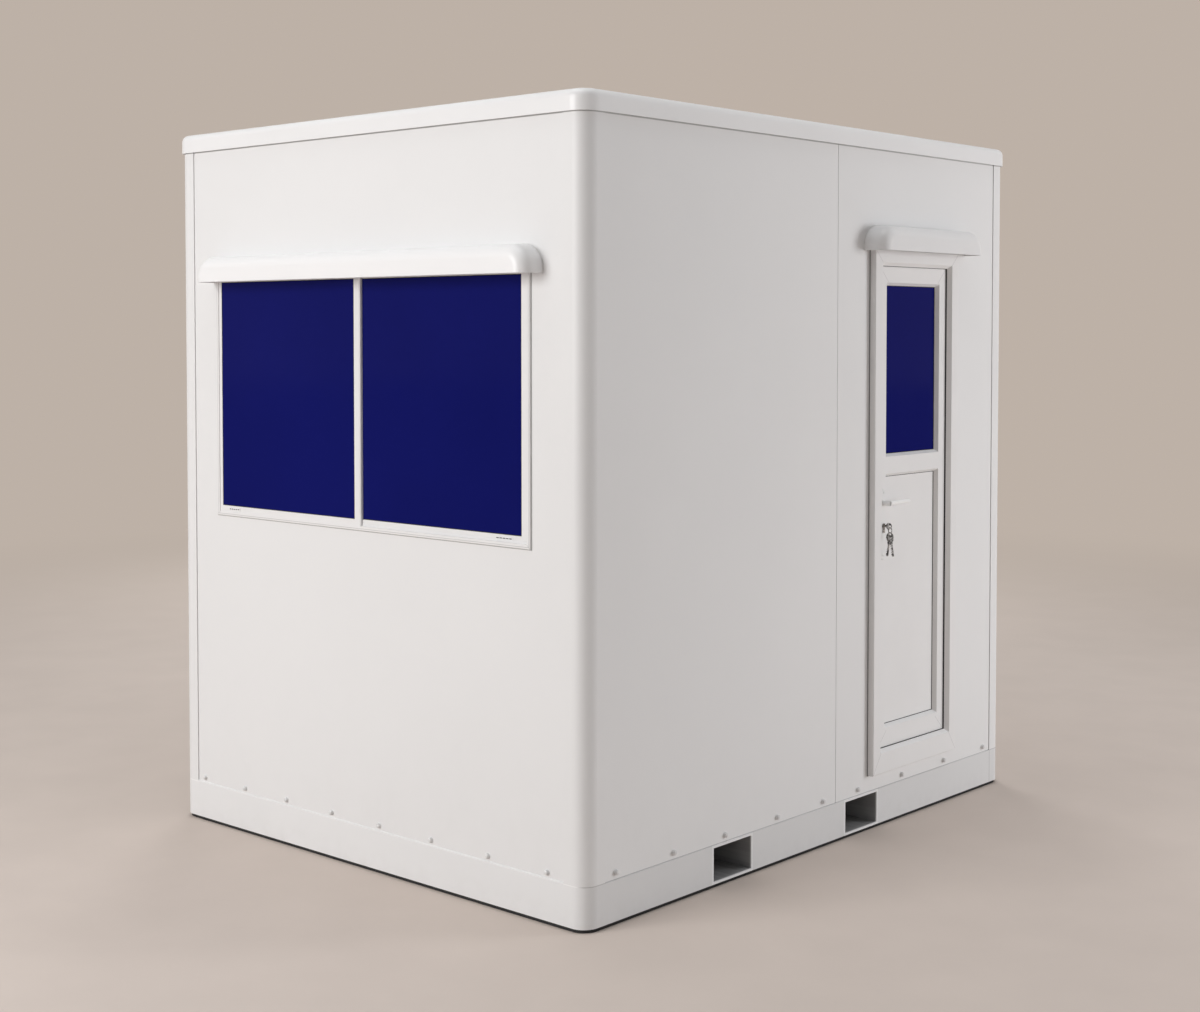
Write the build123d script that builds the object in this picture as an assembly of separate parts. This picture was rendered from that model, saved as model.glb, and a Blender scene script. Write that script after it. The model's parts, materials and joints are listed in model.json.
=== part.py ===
from build123d import *
import os

os.makedirs("parts", exist_ok=True)

# Overall size of the cabin, wall face to wall face and ground to roof
cabin_width = 2000.0
cabin_depth = 2450.0
cabin_height = 2500.0
half_width = cabin_width / 2
half_depth = cabin_depth / 2

# Walls, corner posts and the joints between panels
wall_thickness = 60.0
corner_radius = 50.0
post_leg = 85.0
post_proud = 3.0
seam_width = 3.0
seam_depth = 8.0
post_seam_width = 2.0
post_seam_depth = 4.0

# Base frame, ground strips, fork pockets and floor
ground_gap = 12.0
skirt_height = 126.0
skirt_proud = 3.0
channel_sheet = 4.0
floor_bearing = 15.0
strip_width = 40.0
strip_inset = 6.0
strip_corner_gap = 60.0
fork_width = 200.0
fork_wall = 8.0
fork_front_place = -515.0
fork_rear_place = 234.0
joist_width = 60.0
joist_sheet = 4.0
floor_thickness = 60.0

# Roof cap and ceiling panel
cap_height = 66.0
cap_overhang = 12.0
cap_skin = 5.0
cap_edge_radius = 25.0
cap_wall_lap = 6.0
ceiling_setback = 20.0

# Side wall joint between the two panels
side_joint_place = 75.0

# Window in the front wall
window_width = 1562.0
window_height = 869.0
window_sill = 1130.0
window_flange_proud = 6.0
window_flange_lap = 9.0
window_frame_face = 14.0
window_frame_depth = 58.0
window_fit = 1.0
window_edge_chamfer = 2.0
track_fin = 1.5
track_fin_height = 8.0
sash_proud = 3.0
sash_thickness = 7.0
sash_rail = 22.0
left_sash_stile = 15.0
right_sash_stile = 34.0
sash_edge = 1.0
sash_play = 1.0
meeting_stile = 26.0
meeting_place = -18.0
pane_thickness = 4.0
pane_groove = 6.0

# Rain hoods over window and door
hood_depth = 88.0
hood_height = 88.0
hood_sheet = 4.0
hood_corner_radius = 72.0
hood_front_radius = 40.0
window_hood_lap = 37.0
door_hood_lap = 6.0
window_hood_length = 1630.0
window_hood_shift = 15.0
door_hood_length = 688.0
door_hood_shift = 23.0

# Door frame and leaf
door_place = 560.0
door_frame_width = 566.0
door_frame_height = 1882.0
door_frame_proud = 25.0
door_frame_inset = 45.0
door_frame_edge = 4.0
jamb_face = 58.0
head_face = 58.0
sill_face = 86.0
lip_thickness = 16.0
lip_lap = 10.0
lip_bevel = 12.0
lip_bevel_depth = 14.0
leaf_gap = 5.0
latch_gap = 10.0
stile_face = 45.0
top_rail_face = 59.0
bottom_rail_face = 69.0
bead_face = 10.0
bead_depth = 14.0
bead_step = 2.0
inner_bead_face = 12.0
inner_bead_depth = 6.0
mid_rail_height = 1067.0
mid_rail_depth = 81.0
infill_groove = 8.0
glass_unit = 20.0
lower_panel_thickness = 24.0

# Lever handle
handle_height = 973.0
handle_inset = 27.0
plate_width = 28.0
plate_length = 255.0
plate_thickness = 3.5
plate_round = 13.0
plate_edge = 1.5
plate_rise = 50.0
neck_radius = 9.0
neck_length = 36.0
lever_length = 142.0
lever_thickness = 12.0
lever_tip_radius = 7.0
lever_edge = 3.0
spindle_radius = 5.0
turn_gap = 0.3

# Lock cylinder and keys
cylinder_drop = 82.0
cylinder_radius = 8.5
cylinder_tail_width = 10.0
cylinder_tail_height = 25.0
cylinder_proud = 3.0
key_thickness = 2.2
key_bow_radius = 12.0
key_hole_radius = 4.0
key_hole_shift = 5.0
key_shank_width = 8.0
key_shank_show = 8.0
ring_radius = 11.0
ring_wire = 0.9
spare_bow_radius = 14.0
spare_hole_shift = 7.0
spare_blade_length = 62.0
spare_blade_width = 9.0
spare_key_pitch = 2.6
spare_key_angle = 9.0
key_gap = 0.3

# Door hinges on the inner faces
hinge_height_shares = (0.09, 0.5, 0.91)
hinge_radius = 7.0
hinge_half_length = 45.0
hinge_offset = 8.0
hinge_leaf_width = 34.0
hinge_leaf_thickness = 3.0
hinge_pin_radius = 4.0
hinge_pin_length = 38.0
hinge_pin_clearance = 0.05
hinge_lift = 0.3

# Levels shared by the pieces
base_top = ground_gap + skirt_height
floor_top = base_top + floor_thickness
roof_edge = cabin_height - cap_height
wall_top = roof_edge + cap_wall_lap

# Wall frames: first axis along the wall, second up, third outward
front_face = Plane(origin=(0, -half_depth, 0), x_dir=(1, 0, 0), z_dir=(0, -1, 0))
back_face = Plane(origin=(0, half_depth, 0), x_dir=(-1, 0, 0), z_dir=(0, 1, 0))
right_face = Plane(origin=(half_width, 0, 0), x_dir=(0, 1, 0), z_dir=(1, 0, 0))
left_face = Plane(origin=(-half_width, 0, 0), x_dir=(0, -1, 0), z_dir=(-1, 0, 0))


def save(name, shape):
    """Write one node to its own file."""
    export_step(shape, os.path.join("parts", name + ".step"))


def block(x0, x1, y0, y1, z0, z1):
    """Box between two opposite corners."""
    low = (Align.MIN, Align.MIN, Align.MIN)
    return Pos(x0, y0, z0) * Box(x1 - x0, y1 - y0, z1 - z0, align=low)


def grown(area, amount):
    """Upright rectangle (left, right, bottom, top) grown on every side."""
    left, right, bottom, top = area
    return (left - amount, right + amount, bottom - amount, top + amount)


def filled(area, back, front):
    """Box over an upright rectangle between two depths."""
    return block(*area, back, front)


def outline(area, depth):
    """Flat rectangle at a depth, for tapered forms."""
    left, right, bottom, top = area
    low = (Align.MIN, Align.MIN)
    return Pos(left, bottom, depth) * Rectangle(right - left, top - bottom, align=low)


def bevel(area, amount, near, far):
    """Tapered cutter: the rectangle at the far depth, grown at the near depth."""
    return loft([outline(grown(area, amount), near), outline(area, far)])


def rounded_prism(width, depth, radius, bottom, top):
    """Upright prism with rounded corners, centred on the cabin."""
    return extrude(Pos(0, 0, bottom) * RectangleRounded(width, depth, radius), top - bottom)


# Base frame: a folded channel all round, cut by the two fork pockets
skirt_width = cabin_width + 2 * skirt_proud
skirt_depth = cabin_depth + 2 * skirt_proud
skirt_radius = corner_radius + skirt_proud
inner_radius = skirt_radius - channel_sheet
channel = rounded_prism(skirt_width, skirt_depth, skirt_radius, ground_gap, base_top)
channel -= rounded_prism(
    skirt_width - 2 * channel_sheet,
    skirt_depth - 2 * channel_sheet,
    inner_radius,
    ground_gap + channel_sheet,
    base_top - channel_sheet,
)
flange_end_x = half_width - wall_thickness - floor_bearing
flange_end_y = half_depth - wall_thickness - floor_bearing
channel -= block(-flange_end_x, flange_end_x, -flange_end_y, flange_end_y, ground_gap, base_top)

fork_half = fork_width / 2
fork_outer = fork_half + fork_wall
fork_places = {"fork_pocket_front": fork_front_place, "fork_pocket_rear": fork_rear_place}
for name, place in fork_places.items():
    outer = (-skirt_width / 2, skirt_width / 2, place - fork_outer, place + fork_outer)
    inner = (-skirt_width / 2, skirt_width / 2, place - fork_half, place + fork_half)
    tube = block(*outer, ground_gap, base_top)
    channel -= tube
    tube -= block(*inner, ground_gap + fork_wall, base_top - fork_wall)
    save(name, tube)

channel_pieces = channel.solids().sort_by(Axis.Y)
save("base_front", channel_pieces[0])
save("base_rear", channel_pieces[-1])
side_pieces = ShapeList(channel_pieces[1:-1]).sort_by(Axis.X)
save("base_side_left", side_pieces[0])
save("base_side_right", side_pieces[-1])

# Floor joists between the channel flanges, ahead of and behind the pockets
joist_half = joist_width / 2
joist_front_place = (fork_front_place - fork_outer - flange_end_y) / 2
joist_rear_place = (fork_rear_place + fork_outer + flange_end_y) / 2
joists = []
for place in (joist_front_place, joist_rear_place):
    joist = block(-flange_end_x, flange_end_x, place - joist_half, place + joist_half, ground_gap, base_top)
    joist -= block(
        -flange_end_x,
        flange_end_x,
        place - joist_half + joist_sheet,
        place + joist_half - joist_sheet,
        ground_gap + joist_sheet,
        base_top - joist_sheet,
    )
    joists.append(joist)
save("floor_joists", Compound(children=joists))

# Ground strips, set back under the channel and one along the middle
strip_x = skirt_width / 2 - strip_inset
strip_y = skirt_depth / 2 - strip_inset
run_x = half_width - strip_corner_gap
run_y = half_depth - strip_corner_gap
strips = [
    block(-run_x, run_x, -strip_y, strip_width - strip_y, 0, ground_gap),
    block(-run_x, run_x, strip_y - strip_width, strip_y, 0, ground_gap),
    block(-strip_x, strip_width - strip_x, -run_y, run_y, 0, ground_gap),
    block(strip_x - strip_width, strip_x, -run_y, run_y, 0, ground_gap),
    block(-strip_width / 2, strip_width / 2, -run_y, run_y, 0, ground_gap),
]
save("ground_strips", Compound(children=strips))

# Floor panel inside the walls
room_x = half_width - wall_thickness
room_y = half_depth - wall_thickness
save("floor_panel", block(-room_x, room_x, -room_y, room_y, base_top, floor_top))

# Corner posts: an angle section rounded on its outer corner, proud of the walls
post_edge_x = half_width - post_leg
post_edge_y = half_depth - post_leg
post_face_x = half_width + post_proud
post_face_y = half_depth + post_proud
post_outline = make_face(
    Polyline(
        (post_edge_x, -post_face_y),
        (post_face_x, -post_face_y),
        (post_face_x, -post_edge_y),
        (room_x, -post_edge_y),
        (room_x, -room_y),
        (post_edge_x, -room_y),
        close=True,
    )
)
sharp_corner = post_outline.vertices().sort_by_distance((post_face_x, -post_face_y, 0))[0]
post_section = fillet(sharp_corner, corner_radius + post_proud)
post = extrude(Pos(0, 0, base_top) * post_section, wall_top - base_top)
save("corner_post_front_right", post)
save("corner_post_front_left", mirror(post, about=Plane.YZ))
post_back = mirror(post, about=Plane.XZ)
save("corner_post_back_right", post_back)
save("corner_post_back_left", mirror(post_back, about=Plane.YZ))


def wall_panel(start, end, start_post, end_post):
    """Full height wall panel with a fine shadow groove where it meets a post."""
    panel = block(start, end, base_top, wall_top, -wall_thickness, 0)
    if start_post:
        panel -= block(start, start + post_seam_width, base_top, wall_top, -post_seam_depth, 0)
    if end_post:
        panel -= block(end - post_seam_width, end, base_top, wall_top, -post_seam_depth, 0)
    return panel


def joint_groove(start):
    """Cutter for the wider groove at the joint between two panels."""
    return block(start, start + seam_width, base_top, wall_top, -seam_depth, 0)


# Window opening and the front and back walls
window_half = window_width / 2
window_top = window_sill + window_height
window_outer = (-window_half, window_half, window_sill, window_top)
window_hole = grown(window_outer, -window_flange_lap)
front_panel = wall_panel(-post_edge_x, post_edge_x, True, True)
front_panel -= filled(window_hole, -wall_thickness, 0)
save("front_wall", front_face.location * front_panel)
save("back_wall", back_face.location * wall_panel(-post_edge_x, post_edge_x, True, True))

# Left wall in two panels, jointed level with the door wall joint
left_joint = -side_joint_place
left_rear = wall_panel(-post_edge_y, left_joint, True, False)
left_front = wall_panel(left_joint, post_edge_y, False, True) - joint_groove(left_joint)
save("left_wall_rear_panel", left_face.location * left_rear)
save("left_wall_front_panel", left_face.location * left_front)

# Door wall: a plain panel, then the panel split round the door frame
door_half = door_frame_width / 2
door_left = door_place - door_half
door_right = door_place + door_half
door_bottom = floor_top
door_top = door_bottom + door_frame_height
door_outer = (door_left, door_right, door_bottom, door_top)
right_front = wall_panel(-post_edge_y, side_joint_place, True, False)
latch_wall = wall_panel(side_joint_place, door_left, False, False) - joint_groove(side_joint_place)
hinge_wall = wall_panel(door_right, post_edge_y, False, True)
head_wall = block(door_left, door_right, door_top, wall_top, -wall_thickness, 0)
sill_wall = block(door_left, door_right, base_top, door_bottom, -wall_thickness, 0)
save("right_wall_front_panel", right_face.location * right_front)
save("door_wall_latch_side", right_face.location * latch_wall)
save("door_wall_hinge_side", right_face.location * hinge_wall)
save("door_wall_head", right_face.location * head_wall)
save("door_wall_sill", right_face.location * sill_wall)

# Ceiling panel on the walls and the moulded roof cap over it
ceiling_top = cabin_height - cap_skin
ceiling = rounded_prism(
    cabin_width - 2 * ceiling_setback,
    cabin_depth - 2 * ceiling_setback,
    corner_radius - ceiling_setback,
    wall_top,
    ceiling_top,
)
save("ceiling_panel", ceiling)

cap_width = cabin_width + 2 * cap_overhang
cap_depth = cabin_depth + 2 * cap_overhang
cap_radius = corner_radius + cap_overhang
cap = rounded_prism(cap_width, cap_depth, cap_radius, roof_edge, cabin_height)
cap = fillet(cap.faces().sort_by(Axis.Z)[-1].edges(), cap_edge_radius)
pocket = rounded_prism(
    cap_width - 2 * cap_skin,
    cap_depth - 2 * cap_skin,
    cap_radius - cap_skin,
    roof_edge,
    ceiling_top,
)
pocket = fillet(pocket.faces().sort_by(Axis.Z)[-1].edges(), cap_edge_radius - cap_skin)
save("roof_cap", cap - pocket)

# Window frame with a front flange and a fin between its two tracks
window_clear = grown(window_outer, -window_frame_face)
window_body = grown(window_hole, -window_fit)
flange = filled(window_outer, 0, window_flange_proud)
flange = chamfer(flange.faces().sort_by(Axis.Z)[-1].edges(), window_edge_chamfer)
frame_body = flange + filled(window_body, -window_frame_depth, 0)
frame_body -= filled(window_clear, -window_frame_depth, window_flange_proud)
fin_front = sash_proud - sash_thickness - sash_play / 2
fin = filled(window_clear, fin_front - track_fin, fin_front)
fin -= filled(grown(window_clear, -track_fin_height), fin_front - track_fin, fin_front)
save("window_frame", front_face.location * (frame_body + fin))


def sash(area, front, left_face_width, right_face_width):
    """One sliding sash: its frame with a glazing groove, and its pane."""
    left, right, bottom, top = area
    opening = (left + left_face_width, right - right_face_width, bottom + sash_rail, top - sash_rail)
    middle = front - sash_thickness / 2
    pane_front = middle + pane_thickness / 2
    pane = filled(grown(opening, pane_groove), pane_front - pane_thickness, pane_front)
    ring = filled(area, front - sash_thickness, front)
    ring -= filled(opening, front - sash_thickness, front)
    ring -= bevel(opening, sash_edge, front, front - sash_edge)
    return ring - pane, pane


clear_left, clear_right, clear_bottom, clear_top = window_clear
stile_left = meeting_place - meeting_stile / 2
stile_right = meeting_place + meeting_stile / 2
sash_top = clear_top - sash_play
inner_front = fin_front - track_fin - sash_play / 2
left_area = (clear_left, stile_right, clear_bottom, sash_top)
right_area = (stile_left, clear_right, clear_bottom, sash_top)
left_sash, left_pane = sash(left_area, sash_proud, left_sash_stile, meeting_stile)
right_sash, right_pane = sash(right_area, inner_front, meeting_stile, right_sash_stile)
save("window_sash_left", front_face.location * left_sash)
save("window_sash_right", front_face.location * right_sash)
save("window_glass_left", front_face.location * left_pane)
save("window_glass_right", front_face.location * right_pane)


def rain_hood(centre, length, bottom):
    """Moulded hood: a rounded blister, open below and against the wall."""
    shape = Pos(centre, bottom + hood_height / 2) * Rectangle(length, hood_height)
    shape = fillet(shape.vertices().group_by(Axis.Y)[-1], hood_corner_radius)
    body = extrude(shape, hood_depth)
    front_edges = body.faces().sort_by(Axis.Z)[-1].edges()
    body = fillet(ShapeList(front_edges.sort_by(Axis.Y)[1:]), hood_front_radius)
    under = body.faces().sort_by(Axis.Y)[0]
    behind = body.faces().sort_by(Axis.Z)[0]
    return offset(body, -hood_sheet, openings=[under, behind])


window_hood = rain_hood(window_hood_shift, window_hood_length, window_top - window_hood_lap)
save("window_hood", front_face.location * window_hood)
door_hood = rain_hood(door_place + door_hood_shift, door_hood_length, door_top - door_hood_lap)
save("door_hood", right_face.location * door_hood)

# Door frame: a stepped section with a bevelled lip in front of the leaf
door_clear = (door_left + jamb_face, door_right - jamb_face, door_bottom + sill_face, door_top - head_face)
leaf_area = grown(door_clear, lip_lap)
leaf_left, leaf_right, leaf_bottom, leaf_top = leaf_area
rebate = (leaf_left - latch_gap, leaf_right + leaf_gap, leaf_bottom - leaf_gap, leaf_top + leaf_gap)
lip_back = door_frame_proud - lip_thickness
door_frame = filled(door_outer, -door_frame_inset, door_frame_proud)
door_frame = fillet(door_frame.faces().sort_by(Axis.Z)[-1].edges(), door_frame_edge)
door_frame -= filled(rebate, -door_frame_inset, lip_back)
door_frame -= filled(door_clear, lip_back, door_frame_proud)
door_frame -= bevel(door_clear, lip_bevel, door_frame_proud, door_frame_proud - lip_bevel_depth)
save("door_frame", right_face.location * door_frame)

# Door leaf: stiles and rails with bevelled beads round two openings
leaf_front = lip_back - leaf_gap
leaf_back = -door_frame_inset
side_border = stile_face + bead_face
clear_u0, clear_u1, clear_v0, clear_v1 = door_clear
infill_left = clear_u0 + side_border
infill_right = clear_u1 - side_border
mid_bottom = floor_top + mid_rail_height
mid_top = mid_bottom + mid_rail_depth
glass_open = (infill_left, infill_right, mid_top, clear_v1 - top_rail_face - bead_face)
panel_open = (infill_left, infill_right, clear_v0 + bottom_rail_face + bead_face, mid_bottom)
infill_front = leaf_front - bead_depth - bead_step
door_pane = filled(grown(glass_open, infill_groove), infill_front - glass_unit, infill_front)
lower_panel = filled(grown(panel_open, infill_groove), infill_front - lower_panel_thickness, infill_front)
leaf = filled(leaf_area, leaf_back, leaf_front)
for opening in (glass_open, panel_open):
    leaf -= filled(opening, leaf_back, leaf_front)
    leaf -= bevel(opening, bead_face, leaf_front, leaf_front - bead_depth)
    leaf -= bevel(opening, inner_bead_face, leaf_back, leaf_back + inner_bead_depth)
leaf -= door_pane
leaf -= lower_panel

# Handle plates, levers and lock cylinder places
handle_u = clear_u0 + handle_inset
handle_v = floor_top + handle_height
cylinder_v = handle_v - cylinder_drop
outer_plate_face = leaf_front + plate_thickness
inner_plate_face = leaf_back - plate_thickness


def cylinder_form(extra, back, front):
    """Key cylinder section, round above with a narrow tail below."""
    tail_half = cylinder_tail_width / 2 + extra
    round_part = Pos(0, 0, back) * extrude(Circle(cylinder_radius + extra), front - back)
    tail = block(-tail_half, tail_half, -cylinder_tail_height - extra, 0, back, front)
    return Pos(handle_u, cylinder_v) * (round_part + tail)


def turned(radius, back, front):
    """Round bar through the door on the lever axis."""
    return Pos(handle_u, handle_v, back) * extrude(Circle(radius), front - back)


spindle_hole = turned(spindle_radius + turn_gap, inner_plate_face, outer_plate_face)
cylinder_hole = cylinder_form(turn_gap, inner_plate_face, outer_plate_face)
save("door_leaf", right_face.location * (leaf - spindle_hole - cylinder_hole))
save("door_glass", right_face.location * door_pane)
save("door_lower_panel", right_face.location * lower_panel)

plate_middle = handle_v + plate_rise - plate_length / 2
plates = []
for back, front, shown in ((leaf_front, outer_plate_face, -1), (inner_plate_face, leaf_back, 0)):
    plate = extrude(RectangleRounded(plate_width, plate_length, plate_round), front - back)
    plate = Pos(handle_u, plate_middle, back) * plate
    plate = chamfer(plate.faces().sort_by(Axis.Z)[shown].edges(), plate_edge)
    plates.append(right_face.location * (plate - spindle_hole - cylinder_hole))
save("handle_plates", Compound(children=plates))

lever_outline = make_hull((Circle(neck_radius) + Pos(lever_length, 0) * Circle(lever_tip_radius)).edges())
lever_bar = extrude(lever_outline, lever_thickness)
lever_bar = chamfer(lever_bar.faces().sort_by(Axis.Z)[-1].edges(), lever_edge)
neck_start = outer_plate_face + turn_gap
neck_end = neck_start + neck_length
inner_neck_start = inner_plate_face - turn_gap
inner_neck_end = inner_neck_start - neck_length
outer_lever = Pos(handle_u, handle_v, neck_end) * lever_bar
outer_lever += turned(neck_radius, neck_start, neck_end)
outer_lever += turned(spindle_radius, inner_neck_start, neck_start)
inner_bar = mirror(lever_bar, about=Plane.XY)
inner_lever = Pos(handle_u, handle_v, inner_neck_end) * inner_bar
inner_lever += turned(neck_radius, inner_neck_end, inner_neck_start)
save("lever_outside", right_face.location * outer_lever)
save("lever_inside", right_face.location * inner_lever)

cylinder_front = outer_plate_face + cylinder_proud
cylinder_back = inner_plate_face - cylinder_proud
cylinder = cylinder_form(0, cylinder_back, cylinder_front)
save("lock_cylinder", right_face.location * cylinder)


def key(bow_radius, hole_shift, blade_length, blade_width):
    """Flat key round its ring hole, blade pointing back along the first axis."""
    bow = Pos(-hole_shift, 0) * Circle(bow_radius)
    reach = hole_shift + bow_radius + blade_length
    low = (Align.MAX, Align.CENTER)
    blade = Pos(-hole_shift, 0) * Rectangle(reach - hole_shift, blade_width, align=low)
    shape = bow + blade - Circle(key_hole_radius)
    return Pos(0, 0, -key_thickness / 2) * extrude(shape, key_thickness)


# Key in the lock, its ring and two spare keys hanging from it
key_hole_w = cylinder_front + key_shank_show + key_bow_radius + key_hole_shift
key_frame = Plane(origin=(handle_u, cylinder_v, key_hole_w), x_dir=(0, 0, 1), z_dir=(1, 0, 0))
lock_key = key_frame.location * key(key_bow_radius, key_hole_shift, key_shank_show, key_shank_width)
save("lock_key", right_face.location * lock_key)
ring_top = cylinder_v - key_hole_radius + ring_wire + key_gap
ring_outline = Circle(ring_radius + ring_wire) - Circle(ring_radius - ring_wire)
ring = Pos(handle_u, ring_top - ring_radius, key_hole_w - ring_wire) * extrude(ring_outline, 2 * ring_wire)
save("key_ring", right_face.location * ring)
ring_low = ring_top - 2 * ring_radius
spare_drop = key_hole_radius - ring_wire - key_gap
spares = []
for side in (-1, 1):
    start = (handle_u + side * spare_key_pitch / 2, ring_low, key_hole_w)
    hang = Plane(origin=start, x_dir=(0, 1, 0), z_dir=(1, 0, 0))
    spare = Pos(-spare_drop, 0) * key(spare_bow_radius, spare_hole_shift, spare_blade_length, spare_blade_width)
    spare = hang.location * (Rot(0, 0, side * spare_key_angle) * spare)
    spares.append(right_face.location * spare)
save("spare_keys", Compound(children=spares))

# Hinges: pinned halves on the frame, bored halves on the leaf
hinge_u = leaf_right + leaf_gap / 2
hinge_w = leaf_back - hinge_offset
hinge_face = leaf_back - hinge_leaf_thickness
frame_halves = []
door_halves = []
for share in hinge_height_shares:
    level = leaf_bottom + share * (leaf_top - leaf_bottom)
    stand = Plane(origin=(hinge_u, level, hinge_w), x_dir=(1, 0, 0), z_dir=(0, 1, 0)).location
    barrel = extrude(Circle(hinge_radius), hinge_half_length - hinge_lift)
    pin = extrude(Circle(hinge_pin_radius), hinge_pin_length)
    lower = stand * (Pos(0, 0, -hinge_half_length) * barrel + Pos(0, 0, -hinge_lift) * pin)
    tab = (hinge_u, hinge_u + hinge_leaf_width, level - hinge_half_length, level - hinge_lift)
    lower += block(*tab, hinge_face, leaf_back)
    bore = extrude(Circle(hinge_pin_radius + hinge_pin_clearance), hinge_pin_length)
    upper = stand * barrel
    tab = (hinge_u - hinge_leaf_width, hinge_u, level, level + hinge_half_length - hinge_lift)
    upper += block(*tab, hinge_face, leaf_back)
    upper -= stand * bore
    frame_halves.append(right_face.location * lower)
    door_halves.append(right_face.location * upper)
save("hinge_frame_halves", Compound(children=frame_halves))
save("hinge_door_halves", Compound(children=door_halves))
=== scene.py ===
"""Finishes and small fittings of a portable guard cabin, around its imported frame."""

import json
import math

import bmesh
import bpy
from bpy.props import FloatProperty, FloatVectorProperty, IntProperty, PointerProperty
from mathutils import Matrix, Vector


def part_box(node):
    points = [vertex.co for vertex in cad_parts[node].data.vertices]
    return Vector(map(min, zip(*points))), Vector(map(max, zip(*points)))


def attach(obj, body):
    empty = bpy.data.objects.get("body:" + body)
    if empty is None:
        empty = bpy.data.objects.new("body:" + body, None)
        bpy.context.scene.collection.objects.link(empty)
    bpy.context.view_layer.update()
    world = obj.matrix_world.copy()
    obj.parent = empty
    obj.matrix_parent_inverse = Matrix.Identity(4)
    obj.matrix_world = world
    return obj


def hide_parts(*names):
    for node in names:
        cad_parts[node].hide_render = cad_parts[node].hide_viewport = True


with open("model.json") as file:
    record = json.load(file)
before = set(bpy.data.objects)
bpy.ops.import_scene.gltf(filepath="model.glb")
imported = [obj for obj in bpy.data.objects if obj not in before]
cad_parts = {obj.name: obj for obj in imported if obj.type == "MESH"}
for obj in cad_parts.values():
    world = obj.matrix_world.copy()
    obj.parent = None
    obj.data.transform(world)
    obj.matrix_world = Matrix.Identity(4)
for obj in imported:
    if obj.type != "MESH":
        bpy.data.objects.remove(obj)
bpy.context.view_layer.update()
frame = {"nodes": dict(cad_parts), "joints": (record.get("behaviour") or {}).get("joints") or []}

bl_info = {
    "name": "Guard cabin finish",
    "version": (1, 0, 0),
    "blender": (4, 5, 0),
    "location": "View3D > Sidebar > Cabin",
    "description": "Finishes and small fittings of a portable guard cabin",
    "category": "Object",
}


def grown(area, amount):
    """Rectangle (left, right, bottom, top) grown on every side."""
    left, right, bottom, top = area
    return (left - amount, right + amount, bottom - amount, top + amount)


def reach(node, across):
    """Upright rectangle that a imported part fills, seen along the other axis."""
    low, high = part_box(node)
    return (low[across], high[across], low.z, high.z)


# Fine allowances, in metres: sunk into a seat, lapped over a neighbour, counted as equal
SINK = 0.0003
LAP = 0.0004
NEAR = 1e-5

# How far a cutter runs past what it cuts, and the small roundings of fittings, in metres
OVERRUN = 0.01
FINE_ROUND = 0.0002
PLATE_ROUND = 0.0004

# Least cosine between two directions that count as the same, and least angle of a sharp edge
ALIGNED = 0.9
SHARP_ANGLE = math.radians(30.0)

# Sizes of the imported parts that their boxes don't give, in metres
WINDOW_FACE = 0.014
# Inset of the painted shade line inside the window's flange
FLANGE_SHADE_INSET = 0.006
PANE_GROOVE = 0.006
LIP_LAP = 0.010
LEAF_GAP = 0.005
LATCH_GAP = 0.010
LEAF_FACE = 0.067
INFILL_GROOVE = 0.008
HOOD_CORNER = 0.072
CYLINDER_RADIUS = 0.0085
CYLINDER_PROUD = 0.003
RING_RADIUS = 0.011
HINGE_LEAF = 0.003
HINGE_SHARES = (0.09, 0.5, 0.91)

# Levels of the roof's lower edge and the base frame's top, in metres
ROOF_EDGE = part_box("roof_cap")[0].z
BASE_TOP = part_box("base_front")[1].z

# Window wall: places across, up and out of the wall's face, in metres
FRONT_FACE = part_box("front_wall")[0].y
WINDOW_FLANGE = reach("window_frame", 0)
WINDOW_CLEAR = grown(WINDOW_FLANGE, -WINDOW_FACE)
LEFT_PANE = grown(reach("window_glass_left", 0), -PANE_GROOVE)
RIGHT_PANE = grown(reach("window_glass_right", 0), -PANE_GROOVE)
LEFT_SASH_FRONT = FRONT_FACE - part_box("window_sash_left")[0].y
RIGHT_SASH_FRONT = FRONT_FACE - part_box("window_sash_right")[0].y
LEFT_PANE_FRONT = FRONT_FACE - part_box("window_glass_left")[0].y
RIGHT_PANE_FRONT = FRONT_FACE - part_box("window_glass_right")[0].y
WINDOW_HOOD = reach("window_hood", 0)

# Drain covers on the window's lower rail, in metres: start and end across, levels, then sizes
LEFT_DRAIN = (-0.717, -0.650)
RIGHT_DRAIN = (0.620, 0.698)
DRAIN_LEVELS = (1.1500, 1.1596)
SLOT_LEVELS = (1.1532, 1.1560)
DRAIN_SLOTS = 5
COVER_RIM = 0.004
COVER_BAR = 0.0015
COVER_PROUD = 0.0016
HOLLOW_INSET = 0.002
HOLLOW_PROUD = 0.0005

# Gaskets, seals and beads, in metres: how far they stand out or lap, and how round they are
PANE_GASKET_PROUD = 0.0010
PANE_GASKET_ROUND = 0.0006
DOOR_GASKET_PROUD = 0.0016
DOOR_GASKET_ROUND = 0.0008
DOOR_SEAL_LAP = 0.007
DOOR_SEAL_ROUND = 0.0015
MEETING_END_ROOM = 0.0005
MEETING_ROUND_SHARE = 0.85
LEDGE_ROUND_SHARE = 0.9

# Sealant beads, as shares of their width
SEALANT_PROUD_SHARE = 0.8
SEALANT_HOLD_SHARE = 1.15
SEALANT_ROUND_SHARE = 0.5
SEALANT_END_SHARE = 1.5
SEALANT_HOOD_ROUND_SHARE = 0.4

# Corner pads, in metres
PAD_ROOM = 0.0002
PAD_ROUND = 0.0008

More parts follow.
